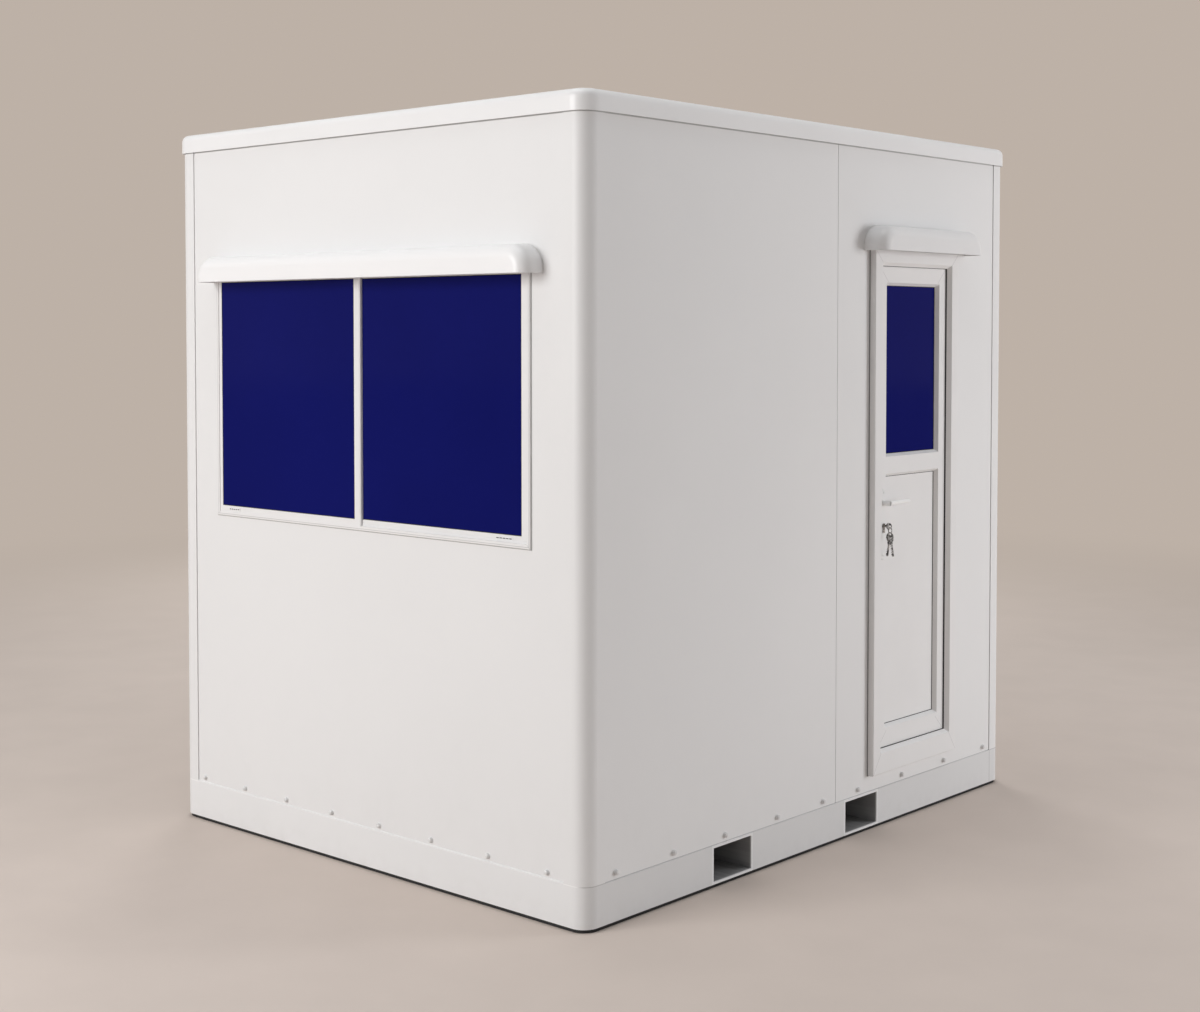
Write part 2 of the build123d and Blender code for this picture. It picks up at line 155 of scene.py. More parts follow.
# Door wall
DOOR_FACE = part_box("door_wall_head")[1].x
DOOR_FRAME = reach("door_frame", 1)
DOOR_LEAF = reach("door_leaf", 1)
DOOR_LIP = grown(DOOR_LEAF, -LIP_LAP)
DOOR_GLASS = grown(reach("door_glass", 1), -INFILL_GROOVE)
DOOR_PANEL = grown(reach("door_lower_panel", 1), -INFILL_GROOVE)
LEAF_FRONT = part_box("door_leaf")[1].x - DOOR_FACE
LEAF_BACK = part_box("door_leaf")[0].x - DOOR_FACE
LIP_BACK = LEAF_FRONT + LEAF_GAP
INFILL_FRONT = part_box("door_glass")[1].x - DOOR_FACE
LEAF_EDGE = DOOR_LEAF[0]
REBATE_EDGE = LEAF_EDGE - LATCH_GAP
DOOR_HOOD = reach("door_hood", 1)

# Lever, lock, keys and hinges
PIVOTS = {joint["name"]: joint["pos_m"] for joint in frame["joints"]}
HANDLE = (PIVOTS["lever_turn"][1], PIVOTS["lever_turn"][2])
CYLINDER = (HANDLE[0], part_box("lock_cylinder")[1].z - CYLINDER_RADIUS)
PLATE_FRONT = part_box("handle_plates")[1].x - DOOR_FACE
PLATE_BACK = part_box("handle_plates")[0].x - DOOR_FACE
RING_CENTRE = sum(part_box("key_ring"), Vector()) / 2
HOLE_POINT = RING_CENTRE - Vector((0.0, 0.0, RING_RADIUS))
HINGE_LINE = PIVOTS["door_swing"][1]
HINGE_LEVELS = [DOOR_LEAF[2] + share * (DOOR_LEAF[3] - DOOR_LEAF[2]) for share in HINGE_SHARES]
HINGE_SCREW_ASIDE = 0.021
HINGE_SCREW_RISES = (0.011, 0.034)
PLATE_SCREW_RISES = (0.038, -0.190)
SCREW_SINK = 0.0001
GRIP_HALF = 0.0063

# Lock plugs and the latch plate with latch and bolt on the leaf's edge, in metres
LOCK_LINE = 0.980
PLUG_RADIUS = 0.0063
PLUG_SUNK = 0.0006
PLUG_PROUD = 0.0007
PLUG_SIDES = 32
KEYWAY_HALF = 0.0014
KEYWAY_REACH = 0.0048
KEYWAY_FLOOR = 0.0001
LATCH_PLATE_HALF = 0.010
LATCH_PLATE_PROUD = 0.0025
LATCH_PLATE_SUNK = 0.0005
LATCH_PLATE_BELOW = 0.064
LATCH_PLATE_ABOVE = 0.080
LATCH_PLATE_CORNER = 0.006
LATCH_PLATE_INSET = 0.010
LATCH_HALF = 0.007
LATCH_ROOT = 0.0020
LATCH_PROUD = 0.0080
LATCH_RISE = 0.012
LATCH_SLOPE = 0.0045
LOCK_BOLT_PROUD = 0.0042
LOCK_BOLT_RISE = 0.018
LOCK_BOLT_ROUND = 0.0006

# Strike plate on the door frame, in metres
STRIKE_HALF = 0.014
STRIKE_PROUD = 0.0014
STRIKE_BELOW = 0.069
STRIKE_ABOVE = 0.085
STRIKE_INSET = 0.014
STRIKE_MIDDLE = 0.045
MOUTH_HALF = 0.0085
LATCH_MOUTH_RISE = 0.018
LOCK_BOLT_MOUTH_RISE = 0.024
SHADOW_HALF = 0.009
SHADOW_ROUND = 0.0001

# Split ring and spare keys, in metres and degrees
WIRE_SIDES = 10
COIL_STEPS = 72
COIL_TURN = 690.0
COIL_PITCH_SHARE = 4.0
KEY_BOW = 0.0138
KEY_STRETCH_SHARE = 1.35
KEY_LENGTH = 0.089
KEY_THICKNESS = 0.0022
KEY_LEAN = 9.0
KEY_PLAY = 0.0028
KEY_HALF_PITCH = 0.0013

# Bolt rows along the foot of the walls
FRONT_BOLTS = (-0.873, -0.636, -0.402, -0.159, 0.083, 0.333, 0.592, 0.846)
SIDE_BOLTS = (-1.089, -0.815, -0.552, -0.269, -0.001, 0.215, 0.503, 0.797, 1.088)

# Places where a finish changes, in metres: where the change starts and where it is complete
# Painted shadow under the roof's edge, and along the wall's foot a painted highlight that turns to painted
# shadow beside the posts
EAVE_SHADOW = (ROOF_EDGE - 0.0040, ROOF_EDGE - 0.0025)
FOOT_HIGHLIGHT_AND_SHADOW = (BASE_TOP + 0.0035, BASE_TOP + 0.0020)
POST_SIDE_SHADOW = (0.965, 0.985)
SPLASH_RISE = (0.60, 0.14)
# Painted shade on the skirt's side faces
SKIRT_SIDE_SHADE = (0.985, 1.003)
SKIRT_FOOT = (0.10, 0.012)
SEAM_WIDTH = (0.0016, 0.0010)
POCKET_MOUTH = (0.996, 1.000)
# Painted shade deeper in the fork pockets
POCKET_SHADE_DEPTH = (0.99, 0.55)
ROOF_TOP = (2.485, 2.5)

# Fine lines in the finishes, in metres: place of the skirt's seam, half widths of the others
SKIRT_SEAM = 1.14
MITRE_HALF = 0.0009
FLANGE_SHADE_HALF = 0.0012

# Tints and shares of colour in the finishes
# Painted light and painted shade: the window's hood takes a lighter copy of the gelcoat, the door's hood a
# darker one
WINDOW_HOOD_LIGHT = 1.06
DOOR_HOOD_SHADE = 0.95
PLATE_TINT = 0.885
# The door's grey sealant is tinted dark as painted shade in the frame's joint with the wall
SEALANT_TINTS = {"white": 0.94, "pale": 0.52, "grey": 0.26}
# Tint of the profiles' weld lines and of their painted shade, then the share of painted shade at the back
# of a recess
JOINT_AND_SHADE_TINT = 0.38
INNER_SHADE = 0.062
RUST = (0.11, 0.055, 0.03)

# Stage: lamps with place, target, size in metres and power in watts, then sky, floor and camera
LAMPS = (
    ("light_key", (-1.6, -7.8, 3.2), (0.9, -1.2, 1.0), 3.6, 318.0),
    ("light_side", (6.8, 5.6, 2.0), (1.0, 0.2, 1.6), 3.0, 330.0),
    ("light_back", (-6.0, 5.5, 4.0), (0.0, 0.0, 1.2), 4.0, 260.0),
    ("light_top", (0.6, -1.0, 7.5), (0.6, -1.0, 0.0), 5.0, 150.0),
)
UNMIRRORED_LAMPS = ("light_side", "light_back")
SIDE_LAMP_COLOUR = (0.96, 0.975, 1.0)
SKY_COLOUR = (0.96, 0.98, 1.0, 1.0)
SKY_STRENGTH = 0.25
FLOOR_SIZE = 90.0
FLOOR_FADE = (2.6, 10.0)
CAMERA_PLACE = (4.5030, -5.0788, 1.7896)
CAMERA_TURN = (math.radians(87.9073), 0.0, math.radians(41.7895))
CAMERA_LENS = 53.451
CAMERA_SENSOR = 36.0
CAMERA_SHIFT = -0.09167


def colour(label, text, default):
    """Colour property of a finish."""
    return FloatVectorProperty(
        name=label, description=text, subtype="COLOR", size=3, min=0.0, max=1.0, default=default
    )


def metres(label, text, default):
    """Length property of a fitting."""
    return FloatProperty(name=label, description=text, unit="LENGTH", min=0.0, default=default)


class CabinColours(bpy.types.PropertyGroup):
    """Colours of the cabin's finishes."""

    wall: colour("Wall paint", "Satin white of the wall panels and posts", (0.832, 0.828, 0.828))
    base: colour("Base paint", "White of the base frame", (0.842, 0.840, 0.842))
    gelcoat: colour("Gelcoat", "White of the roof cap and rain hoods", (0.87, 0.868, 0.872))
    profile: colour("Profile", "White of the door and window profiles", (0.85, 0.842, 0.840))
    glass: colour("Glass", "Deep blue of the panes", (0.0064, 0.0086, 0.120))
    handle: colour("Handle", "White of the lever handle", (0.95, 0.95, 0.945))
    nickel: colour("Nickel", "Grey of the lock and keys", (0.30, 0.295, 0.29))
    steel: colour("Bare steel", "Grey of the steel under the floor", (0.16, 0.16, 0.165))
    rubber: colour("Rubber", "Black of seals and ground strips", (0.018, 0.018, 0.019))
    vinyl: colour("Floor vinyl", "Grey of the room's floor", (0.34, 0.34, 0.33))
    board: colour("Ceiling board", "White of the ceiling", (0.78, 0.77, 0.75))
    dirt: colour("Dirt", "Brown of splash and scuffs", (0.33, 0.28, 0.23))
    ground: colour("Stage floor", "Pale floor under the cabin", (0.70, 0.61, 0.55))
    backdrop: colour("Backdrop", "Pale backdrop behind the cabin", (0.51, 0.44, 0.385))


class CabinSizes(bpy.types.PropertyGroup):
    """Sizes of the small fittings."""

    bolt_radius: metres("Bolt radius", "Outer radius of a bolt's washer", 0.0095)
    bolt_height: metres("Bolt height", "Rise of a bolt's head", 0.0105)
    bolt_level: metres("Bolt level", "Height of the bolt rows above the ground", 0.160)
    screw_radius: metres("Screw radius", "Head radius of the small screws", 0.0035)
    screw_height: metres("Screw height", "Rise of the small screws", 0.0016)
    gasket: metres("Gasket width", "Visible width of a glazing gasket", 0.0025)
    seal: metres("Door seal width", "Width of the seal behind the frame's lip", 0.0085)
    meeting_bead: metres("Meeting bead", "Width of the bead along the sliding sash's edge", 0.005)
    sealant: metres("Sealant width", "Width of a sealant bead", 0.003)
    pad_side: metres("Pad side", "Length of a corner pad's straight sides", 0.0564)
    pad_rounding: metres("Pad rounding", "Radius of a corner pad's outer corner", 0.047)
    ledge_bead: metres("Ledge bead", "Height of the fillet on the base frame's ledge", 0.006)
    lever_radius: metres("Lever radius", "Radius of the lever's neck", 0.0085)
    ring_radius: metres("Ring radius", "Radius of the key ring", RING_RADIUS)
    ring_wire: metres("Ring wire", "Wire radius of the key ring", 0.0008)
    dome_sides: IntProperty(name="Dome sides", description="Sides of a round fitting", default=24, min=8)


def shade(base, factor):
    """Colour made darker or lighter."""
    return tuple(min(1.0, channel * factor) for channel in base)


class Nodes:
    """A node tree, with short ways to add, fill and link its nodes."""

    def __init__(self, owner):
        owner.use_nodes = True
        self.tree = owner.node_tree

    def node(self, kind, values=None, **settings):
        """Add a node, set it up, and link or fill its inputs."""
        made = self.tree.nodes.new(kind)
        for name, value in settings.items():
            setattr(made, name, value)
        for socket, value in (values or {}).items():
            self.feed(made.inputs[socket], value)
        return made

    def feed(self, socket, value):
        """Link a socket, or fill it with a plain value."""
        if isinstance(value, bpy.types.NodeSocket):
            self.tree.links.new(value, socket)
        else:
            socket.default_value = value

    def sum(self, operation, first, second=0.0):
        """One step of arithmetic."""
        return self.node("ShaderNodeMath", {0: first, 1: second}, operation=operation).outputs[0]

    def times(self, first, second):
        """Product of two values."""
        return self.sum("MULTIPLY", first, second)

    def larger(self, first, second):
        """Larger of two values."""
        return self.sum("MAXIMUM", first, second)

    def minus(self, first, second):
        """First value without the second."""
        return self.sum("SUBTRACT", first, second)

    def absolute(self, value):
        """Value without its sign."""
        return self.sum("ABSOLUTE", value)


class Finish(Nodes):
    """One material's nodes, read from the piece's own Object coordinates."""

    def __init__(self, name):
        self.material = bpy.data.materials.new(name)
        super().__init__(self.material)
        self.shader = self.tree.nodes["Principled BSDF"]
        self.place = self.node("ShaderNodeTexCoord").outputs["Object"]
        self.x, self.y, self.z = self.node("ShaderNodeSeparateXYZ", {"Vector": self.place}).outputs

    def noise(self, scale, detail, stretch=(1.0, 1.0, 1.0)):
        """Cloudy pattern, squeezed or drawn out along the axes."""
        place = self.node("ShaderNodeMapping", {"Vector": self.place, "Scale": stretch}).outputs[0]
        values = {"Vector": place, "Scale": scale, "Detail": detail}
        return self.node("ShaderNodeTexNoise", values).outputs[0]

    def cells(self, scale):
        """Cell pattern, as a random value for each cell."""
        made = self.node("ShaderNodeTexVoronoi", {"Vector": self.place, "Scale": scale})
        grey = self.node("ShaderNodeRGBToBW", {"Color": made.outputs["Color"]})
        return grey.outputs[0]

    def span(self, value, low, high, start=0.0, end=1.0):
        """Value between low and high, brought to start and end."""
        limits = {"Value": value, "From Min": low, "From Max": high, "To Min": start, "To Max": end}
        return self.node("ShaderNodeMapRange", limits, clamp=True).outputs[0]

    def mix(self, share, first, second):
        """Colour between two colours."""
        shades = {0: share, 6: self.solid(first), 7: self.solid(second)}
        return self.node("ShaderNodeMix", shades, data_type="RGBA").outputs[2]

    def clouded(self, tone, dark, scale, detail, share=0.5):
        """Colour with soft clouds of a darker tint of it."""
        cloud = self.span(self.noise(scale, detail), 0.35, 0.65, 0.0, share)
        return self.mix(cloud, tone, shade(tone, dark))

    @staticmethod
    def solid(tone):
        """Colour with full cover, or a socket as it is."""
        return tone if isinstance(tone, bpy.types.NodeSocket) else (*tone, 1.0)

    def bump(self, height, depth, strength):
        """Small relief of the surface."""
        values = {"Height": height, "Distance": depth, "Strength": strength}
        self.feed(self.shader.inputs["Normal"], self.node("ShaderNodeBump", values).outputs[0])

    def set(self, **values):
        """Fill or link the shader's own sockets."""
        for name, value in values.items():
            self.feed(self.shader.inputs[name.replace("_", " ")], value)


def mitre_mask(finish, across, outer, inner):
    """Thin lines from the outer to the inner corners of a rectangular frame."""
    mask = 0.0
    for side, end in ((0, 2), (1, 2), (0, 3), (1, 3)):
        start = Vector((outer[side], outer[end]))
        run = Vector((inner[side], inner[end])) - start
        far = run.length
        run.normalize()
        from_u = finish.minus(across, start.x)
        from_v = finish.minus(finish.z, start.y)
        along = finish.sum("ADD", finish.times(from_u, run.x), finish.times(from_v, run.y))
        beside = finish.absolute(finish.minus(finish.times(from_u, run.y), finish.times(from_v, run.x)))
        line = finish.span(beside, MITRE_HALF, MITRE_HALF / 2)
        inside = finish.sum("LESS_THAN", along, far)
        mask = finish.larger(mask, finish.times(line, inside))
    return mask


def ring_mask(finish, across, area):
    """Thin line along the outline of a rectangle, as painted shade in a groove."""
    left, right, bottom, top = area
    from_u = finish.absolute(finish.minus(across, (left + right) / 2))
    from_v = finish.absolute(finish.minus(finish.z, (bottom + top) / 2))
    past_u = finish.minus(from_u, (right - left) / 2)
    past_v = finish.minus(from_v, (top - bottom) / 2)
    past = finish.absolute(finish.larger(past_u, past_v))
    return finish.span(past, FLANGE_SHADE_HALF, FLANGE_SHADE_HALF / 2)


def wall_paint(name, tones):
    """Satin sprayed paint with faint clouding, rain marks and splash at its foot; a painted highlight runs
    along its foot, and painted shadow lines lie under the roof's edge and along the foot beside the posts
    and on the side walls.
    """
    finish = Finish(name)
    paint = finish.clouded(tones.wall, 0.972, 1.6, 5.0)
    # Painted highlight: a lighter line along the wall's foot.
    edge = finish.span(finish.z, *FOOT_HIGHLIGHT_AND_SHADOW)
    paint = finish.mix(edge, paint, shade(tones.wall, 1.12))
    # Painted shadow: a dark line under the roof cap's edge, and at the foot beside the posts and along the
    # side walls.
    eave_shadow = finish.span(finish.z, *EAVE_SHADOW)
    beside = finish.span(finish.absolute(finish.x), *POST_SIDE_SHADOW)
    joint = finish.larger(eave_shadow, finish.times(edge, beside))
    paint = finish.mix(finish.times(joint, 0.6), paint, shade(tones.wall, 0.35))
    foot = finish.span(finish.z, *SPLASH_RISE)
    splash = finish.span(finish.noise(16.0, 6.0, (1.0, 1.0, 0.6)), 0.45, 0.75)
    soil = finish.times(finish.times(foot, splash), 0.02)
    finish.set(Base_Color=finish.mix(soil, paint, tones.dirt), Specular_IOR_Level=0.42)
    rain = finish.noise(14.0, 4.0, (1.0, 1.0, 0.05))
    finish.set(Roughness=finish.span(rain, 0.3, 0.7, 0.44, 0.47))
    finish.bump(finish.noise(240.0, 2.0), 0.0003, 0.12)
    return finish.material


def base_paint(name, tones):
    """White enamel on the base frame, scuffed and soiled towards the ground, with painted shade on its side
    faces.
    """
    finish = Finish(name)
    paint = finish.clouded(tones.base, 0.965, 2.2, 5.0, 0.6)
    from_middle = finish.absolute(finish.x)
    # Painted shade: the skirt's side faces are made darker.
    beside = finish.span(from_middle, *SKIRT_SIDE_SHADE, 0.0, 0.5)
    paint = finish.mix(beside, paint, shade(tones.base, 0.76))
    seam = finish.span(finish.absolute(finish.minus(finish.y, SKIRT_SEAM)), *SEAM_WIDTH, 0.0, 0.55)
    on_side = finish.sum("GREATER_THAN", from_middle, DOOR_FACE)
    paint = finish.mix(finish.times(seam, on_side), paint, tones.steel)
    low = finish.span(finish.z, *SKIRT_FOOT)
    grime = finish.span(finish.noise(22.0, 7.0), 0.42, 0.75)
    soil = finish.times(finish.times(low, grime), 0.07)
    scuff = finish.span(finish.noise(60.0, 8.0, (0.35, 0.35, 1.6)), 0.66, 0.72, 0.0, 0.05)
    soiled = finish.mix(soil, paint, tones.dirt)
    marked = finish.mix(finish.times(scuff, low), soiled, tones.steel)
    finish.set(Base_Color=marked, Specular_IOR_Level=0.45)
    finish.set(Roughness=finish.span(grime, 0.0, 1.0, 0.42, 0.46))
    finish.bump(finish.noise(180.0, 3.0), 0.0004, 0.15)
    return finish.material


def fork_paint(name, tones):
    """Fork pocket: white at the mouths; behind them the paint is darkened as painted shade, with streaks of
    rubbed steel, and darker painted shade farther in.
    """
    finish = Finish(name)
    from_middle = finish.absolute(finish.x)
    mouth = finish.span(from_middle, *POCKET_MOUTH)
    # Painted shade: the pocket darkens farther in.
    depth = finish.span(from_middle, *POCKET_SHADE_DEPTH)
    drag = finish.noise(30.0, 5.0, (0.05, 3.0, 3.0))
    rubbed = finish.span(drag, 0.40, 0.62, 0.0, 0.35)
    # Painted shade: the white paint behind the mouths is darkened; the streaks of steel are wear.
    grey = finish.mix(rubbed, shade(tones.base, 0.42), shade(tones.steel, 1.1))
    inside = finish.mix(depth, grey, shade(tones.steel, 0.4))
    finish.set(Base_Color=finish.mix(mouth, inside, tones.base))
    finish.set(Roughness=finish.span(drag, 0.3, 0.7, 0.45, 0.6))
    finish.bump(drag, 0.0005, 0.1)
    return finish.material


def patchy(name, tones, patch, rough, grain=None, **shader):
    """Finish of two colours in patches, each with its own roughness, and a fine grain."""
    finish = Finish(name)
    scale, detail, low, high, share = patch
    patches = finish.span(finish.noise(scale, detail), low, high, 0.0, share)
    finish.set(Base_Color=finish.mix(patches, *tones), **shader)
    finish.set(Roughness=finish.span(patches, 0.0, share, *rough))
    if grain:
        scale, detail, depth, strength = grain
        finish.bump(finish.noise(scale, detail), depth, strength)
    return finish.material


def bare_steel(name, tones):
    """Dull primed steel under the floor, with some rust."""
    patch = (18.0, 8.0, 0.52, 0.72, 0.5)
    grain = (140.0, 5.0, 0.0005, 0.2)
    return patchy(name, (tones.steel, RUST), patch, (0.48, 0.75), grain, Metallic=0.35)


def black_rubber(name, tones):
    """Moulded black rubber with a dusty bloom."""
    bloom = shade(tones.rubber, 2.6)
    patch = (35.0, 6.0, 0.4, 0.75, 0.6)
    grain = (420.0, 3.0, 0.0002, 0.2)
    return patchy(name, (tones.rubber, bloom), patch, (0.55, 0.75), grain, Specular_IOR_Level=0.3)


def white_handle(name, tones, tint=1.0):
    """Powder coated metal, a little greyer where it is touched."""
    clean = shade(tones.handle, tint)
    worn = shade(tones.handle, tint * 0.94)
    return patchy(name, (clean, worn), (9.0, 3.0, 0.40, 0.70, 0.5), (0.30, 0.38))


def zinc(name, tones):
    """Plated bolt heads, dulled by weather."""
    bright = shade(tones.base, 0.92)
    dull = shade(tones.base, 0.80)
    patch = (140.0, 5.0, 0.4, 0.7, 0.6)
    grain = (600.0, 3.0, 0.0001, 0.2)
    return patchy(name, (bright, dull), patch, (0.34, 0.5), grain, Metallic=0.1)


def sealant(name, tones, tint):
    """Flexible sealant in a tint of the profiles' white, slightly soiled."""
    clean = shade(tones.profile, tint)
    soiled = shade(tones.dirt, tint)
    patch = (45.0, 6.0, 0.4, 0.75, 0.25)
    return patchy(name, (clean, soiled), patch, (0.4, 0.55), (120.0, 3.0, 0.0004, 0.2))


def floor_vinyl(name, tones):
    """Speckled sheet vinyl."""
    finish = Finish(name)
    fleck = finish.cells(420.0)
    light = finish.span(fleck, 0.62, 0.70)
    dark = finish.span(fleck, 0.30, 0.24)
    ground = finish.mix(light, tones.vinyl, shade(tones.vinyl, 1.5))
    trodden = finish.span(finish.noise(3.0, 5.0), 0.4, 0.7)
    finish.set(Base_Color=finish.mix(dark, ground, shade(tones.vinyl, 0.5)))
    finish.set(Roughness=finish.span(trodden, 0.0, 1.0, 0.36, 0.52))
    finish.bump(finish.noise(300.0, 3.0), 0.0003, 0.2)
    return finish.material


def ceiling_board(name, tones):
    """Matt laminated board."""
    finish = Finish(name)
    finish.set(Base_Color=finish.clouded(tones.board, 0.96, 2.0, 4.0, 1.0))
    finish.set(Roughness=finish.span(finish.noise(40.0, 4.0), 0.3, 0.7, 0.55, 0.66))
    finish.bump(finish.noise(500.0, 2.0), 0.0002, 0.15)
    return finish.material


def roof_gelcoat(name, tones, tint=1.0):
    """Moulded gelcoat with a soft ripple from its mould, dusty on top."""
    finish = Finish(name)
    coat = finish.clouded(shade(tones.gelcoat, tint), 0.97, 2.6, 4.0)
    on_top = finish.span(finish.z, *ROOF_TOP)
    dust = finish.span(finish.noise(3.0, 5.0), 0.35, 0.75, 0.0, 0.12)
    finish.set(Base_Color=finish.mix(finish.times(on_top, dust), coat, tones.dirt))
    polish = finish.span(finish.noise(6.0, 3.0), 0.3, 0.7, 0.34, 0.37)
    finish.set(Roughness=finish.sum("ADD", polish, finish.times(on_top, 0.25)))
    finish.set(Coat_Weight=0.1, Coat_Roughness=0.3)
    finish.bump(finish.noise(7.0, 1.0), 0.0004, 0.02)
    return finish.material


def white_profile(name, tones, across=None, lines=None, depth=None, ring=None):
    """White plastic profile; welded corners show as thin lines, a painted shade line may follow a groove
    inside a flange, and painted shade may darken it a little with depth.
    """
    finish = Finish(name)
    plastic = finish.clouded(tones.profile, 0.965, 5.0, 4.0)
    grey = shade(tones.profile, JOINT_AND_SHADE_TINT)
    # Painted shade: darker towards the back of a recess.
    if depth:
        plastic = finish.mix(finish.span(finish.x, *depth, 0.0, INNER_SHADE), plastic, grey)
    if across:
        axis = getattr(finish, across)
        mask = mitre_mask(finish, axis, *lines)
        # Painted shade: a dark line inside the flange's edge stands for the shade in a groove.
        if ring:
            mask = finish.larger(mask, ring_mask(finish, axis, ring))
        plastic = finish.mix(finish.times(mask, 0.55), plastic, grey)
        finish.bump(finish.minus(1.0, mask), 0.0016, 0.05)
    finish.set(Base_Color=plastic, Specular_IOR_Level=0.45)
    finish.set(Roughness=finish.span(finish.noise(6.0, 3.0), 0.3, 0.7, 0.36, 0.44))
    return finish.material


def blue_glass(name, tones):
    """Deep blue glass, wiped not quite even."""
    finish = Finish(name)
    depth = finish.span(finish.noise(1.8, 3.0), 0.3, 0.7)
    wiped = finish.noise(7.0, 5.0, (1.0, 1.0, 0.35))
    finish.set(Base_Color=finish.mix(depth, tones.glass, shade(tones.glass, 0.9)))
    finish.set(Roughness=finish.span(wiped, 0.3, 0.7, 0.06, 0.12), Specular_IOR_Level=0.035)
    return finish.material


def nickel(name, tones):
    """Plated metal, bright where it is rubbed and dark where it is tarnished."""
    finish = Finish(name)
    brushed = finish.noise(900.0, 4.0, (0.08, 1.0, 1.0))
    tarnish = finish.span(finish.noise(120.0, 4.0), 0.42, 0.56)
    plated = finish.mix(tarnish, shade(tones.nickel, 2.3), shade(tones.nickel, 0.35))
    finish.set(Base_Color=plated, Metallic=0.9)
    finish.set(Roughness=finish.span(brushed, 0.3, 0.7, 0.22, 0.36))
    finish.bump(brushed, 0.00008, 0.3)
    return finish.material


def stage_floor(name, tones):
    """Pale floor that keeps the cabin's shadow and runs out into the backdrop."""
    finish = Finish(name)
    finish.set(Base_Color=finish.clouded(tones.ground, 0.97, 3.0, 6.0, 1.0))
    finish.set(Roughness=0.85, Specular_IOR_Level=0.2)
    far = finish.node("ShaderNodeVectorMath", {0: finish.place}, operation="LENGTH").outputs["Value"]
    start, end = FLOOR_FADE
    limits = {"Value": far, "From Min": start, "From Max": end}
    fade = finish.node("ShaderNodeMapRange", limits, interpolation_type="SMOOTHSTEP").outputs[0]
    seen = finish.node("ShaderNodeLightPath").outputs["Is Camera Ray"]
    glow = finish.node("ShaderNodeEmission", {"Color": (*tones.backdrop, 1.0), "Strength": 1.0})
    shaders = {0: finish.times(fade, seen), 1: finish.shader.outputs[0], 2: glow.outputs[0]}
    both = finish.node("ShaderNodeMixShader", shaders)
    finish.feed(finish.tree.nodes["Material Output"].inputs["Surface"], both.outputs[0])
    return finish.material


def stage_world(scene, tones):
    """Even white light, with the backdrop's colour where it is seen."""
    scene.world = bpy.data.worlds.new("world")
    sky = Nodes(scene.world)
    sky.tree.nodes.clear()
    rays = sky.node("ShaderNodeLightPath").outputs
    mirrored = sky.larger(rays["Is Glossy Ray"], rays["Is Transmission Ray"])
    seen = sky.larger(rays["Is Camera Ray"], mirrored)
    light = sky.node("ShaderNodeBackground", {"Color": SKY_COLOUR, "Strength": SKY_STRENGTH})
    back = sky.node("ShaderNodeBackground", {"Color": (*tones.backdrop, 1.0), "Strength": 1.0})
    both = sky.node("ShaderNodeMixShader", {0: seen, 1: light.outputs[0], 2: back.outputs[0]})
    sky.node("ShaderNodeOutputWorld", {"Surface": both.outputs[0]})


def soft_light(name, place, target, size, power):
    """Large soft lamp aimed at a point."""
    lamp = bpy.data.lights.new(name, "AREA")
    lamp.size = size
    lamp.energy = power
    holder = bpy.data.objects.new(name, lamp)
    bpy.context.scene.collection.objects.link(holder)
    holder.location = place
    holder.rotation_euler = (Vector(target) - Vector(place)).to_track_quat("-Z", "Y").to_euler()
    return holder


def deselect():
    """Leave edit mode with nothing selected."""
    if bpy.context.mode != "OBJECT":
        bpy.ops.object.mode_set(mode="OBJECT")
    bpy.ops.object.select_all(action="DESELECT")


def take(*pieces):
    """Select pieces, the last one active."""
    deselect()
    for piece in pieces:
        piece.select_set(True)
    bpy.context.view_layer.objects.active = pieces[-1]


def started(name):
    """Name the primitive just added and put its place in its mesh."""
    piece = bpy.context.object
    piece.name = name
    piece.data.name = name
    bpy.ops.object.transform_apply(location=True, rotation=True, scale=True)
    return piece


def add_box(name, first, second):
    """Box between two opposite corners."""
    deselect()
    low = Vector(map(min, first, second))
    high = Vector(map(max, first, second))
    bpy.ops.mesh.primitive_cube_add(size=1.0, location=(low + high) / 2, scale=high - low)
    return started(name)


def add_disc(name, radius, bottom, top, sides):
    """Upright round bar on the local axis."""
    deselect()
    bpy.ops.mesh.primitive_cylinder_add(
        vertices=sides, radius=radius, depth=top - bottom, location=(0.0, 0.0, (bottom + top) / 2)
    )
    return started(name)


def choose(piece, kind, test):
    """Select in edit mode the faces or edges that pass a test."""
    take(piece)
    bpy.ops.object.mode_set(mode="EDIT")
    bpy.ops.mesh.select_mode(type=kind)
    bpy.ops.mesh.select_all(action="DESELECT")
    shape = bmesh.from_edit_mesh(piece.data)
    parts = {"FACE": shape.faces, "EDGE": shape.edges}[kind]
    chosen = [part for part in parts if test(part)]
    if not chosen:
        raise RuntimeError(f"nothing to select on {piece.name}")
    for part in chosen:
        part.select_set(True)
    bmesh.update_edit_mesh(piece.data)


def middle(edge):
    """Middle point of an edge."""
    return (edge.verts[0].co + edge.verts[1].co) / 2


def edges_at(**place):
    """Test for edges whose middle lies at a place, given along some of the axes."""
    return lambda edge: all(
        abs(getattr(middle(edge), axis) - value) < NEAR for axis, value in place.items()
    )


def soften(piece, offset, segments, test):
    """Round the edges that pass a test."""
    choose(piece, "EDGE", test)
    bpy.ops.mesh.bevel(offset=offset, segments=segments, affect="EDGES")


def push(move, grow=None):
    """Extrude the chosen faces, then scale their far end."""
    bpy.ops.mesh.extrude_region_move(TRANSFORM_OT_translate={"value": move})
    if grow:
        bpy.ops.transform.resize(value=grow)


def raise_top(piece, height, steps, rim=0.0):
    """Extrude the top inside a rim in steps, each a share of the height and of the width before it."""
    choose(piece, "FACE", lambda face: face.normal.z > ALIGNED)
    if rim:
        bpy.ops.mesh.inset(thickness=rim)
    for rise, width in steps:
        push((0.0, 0.0, height * rise), (width, width, 1.0))


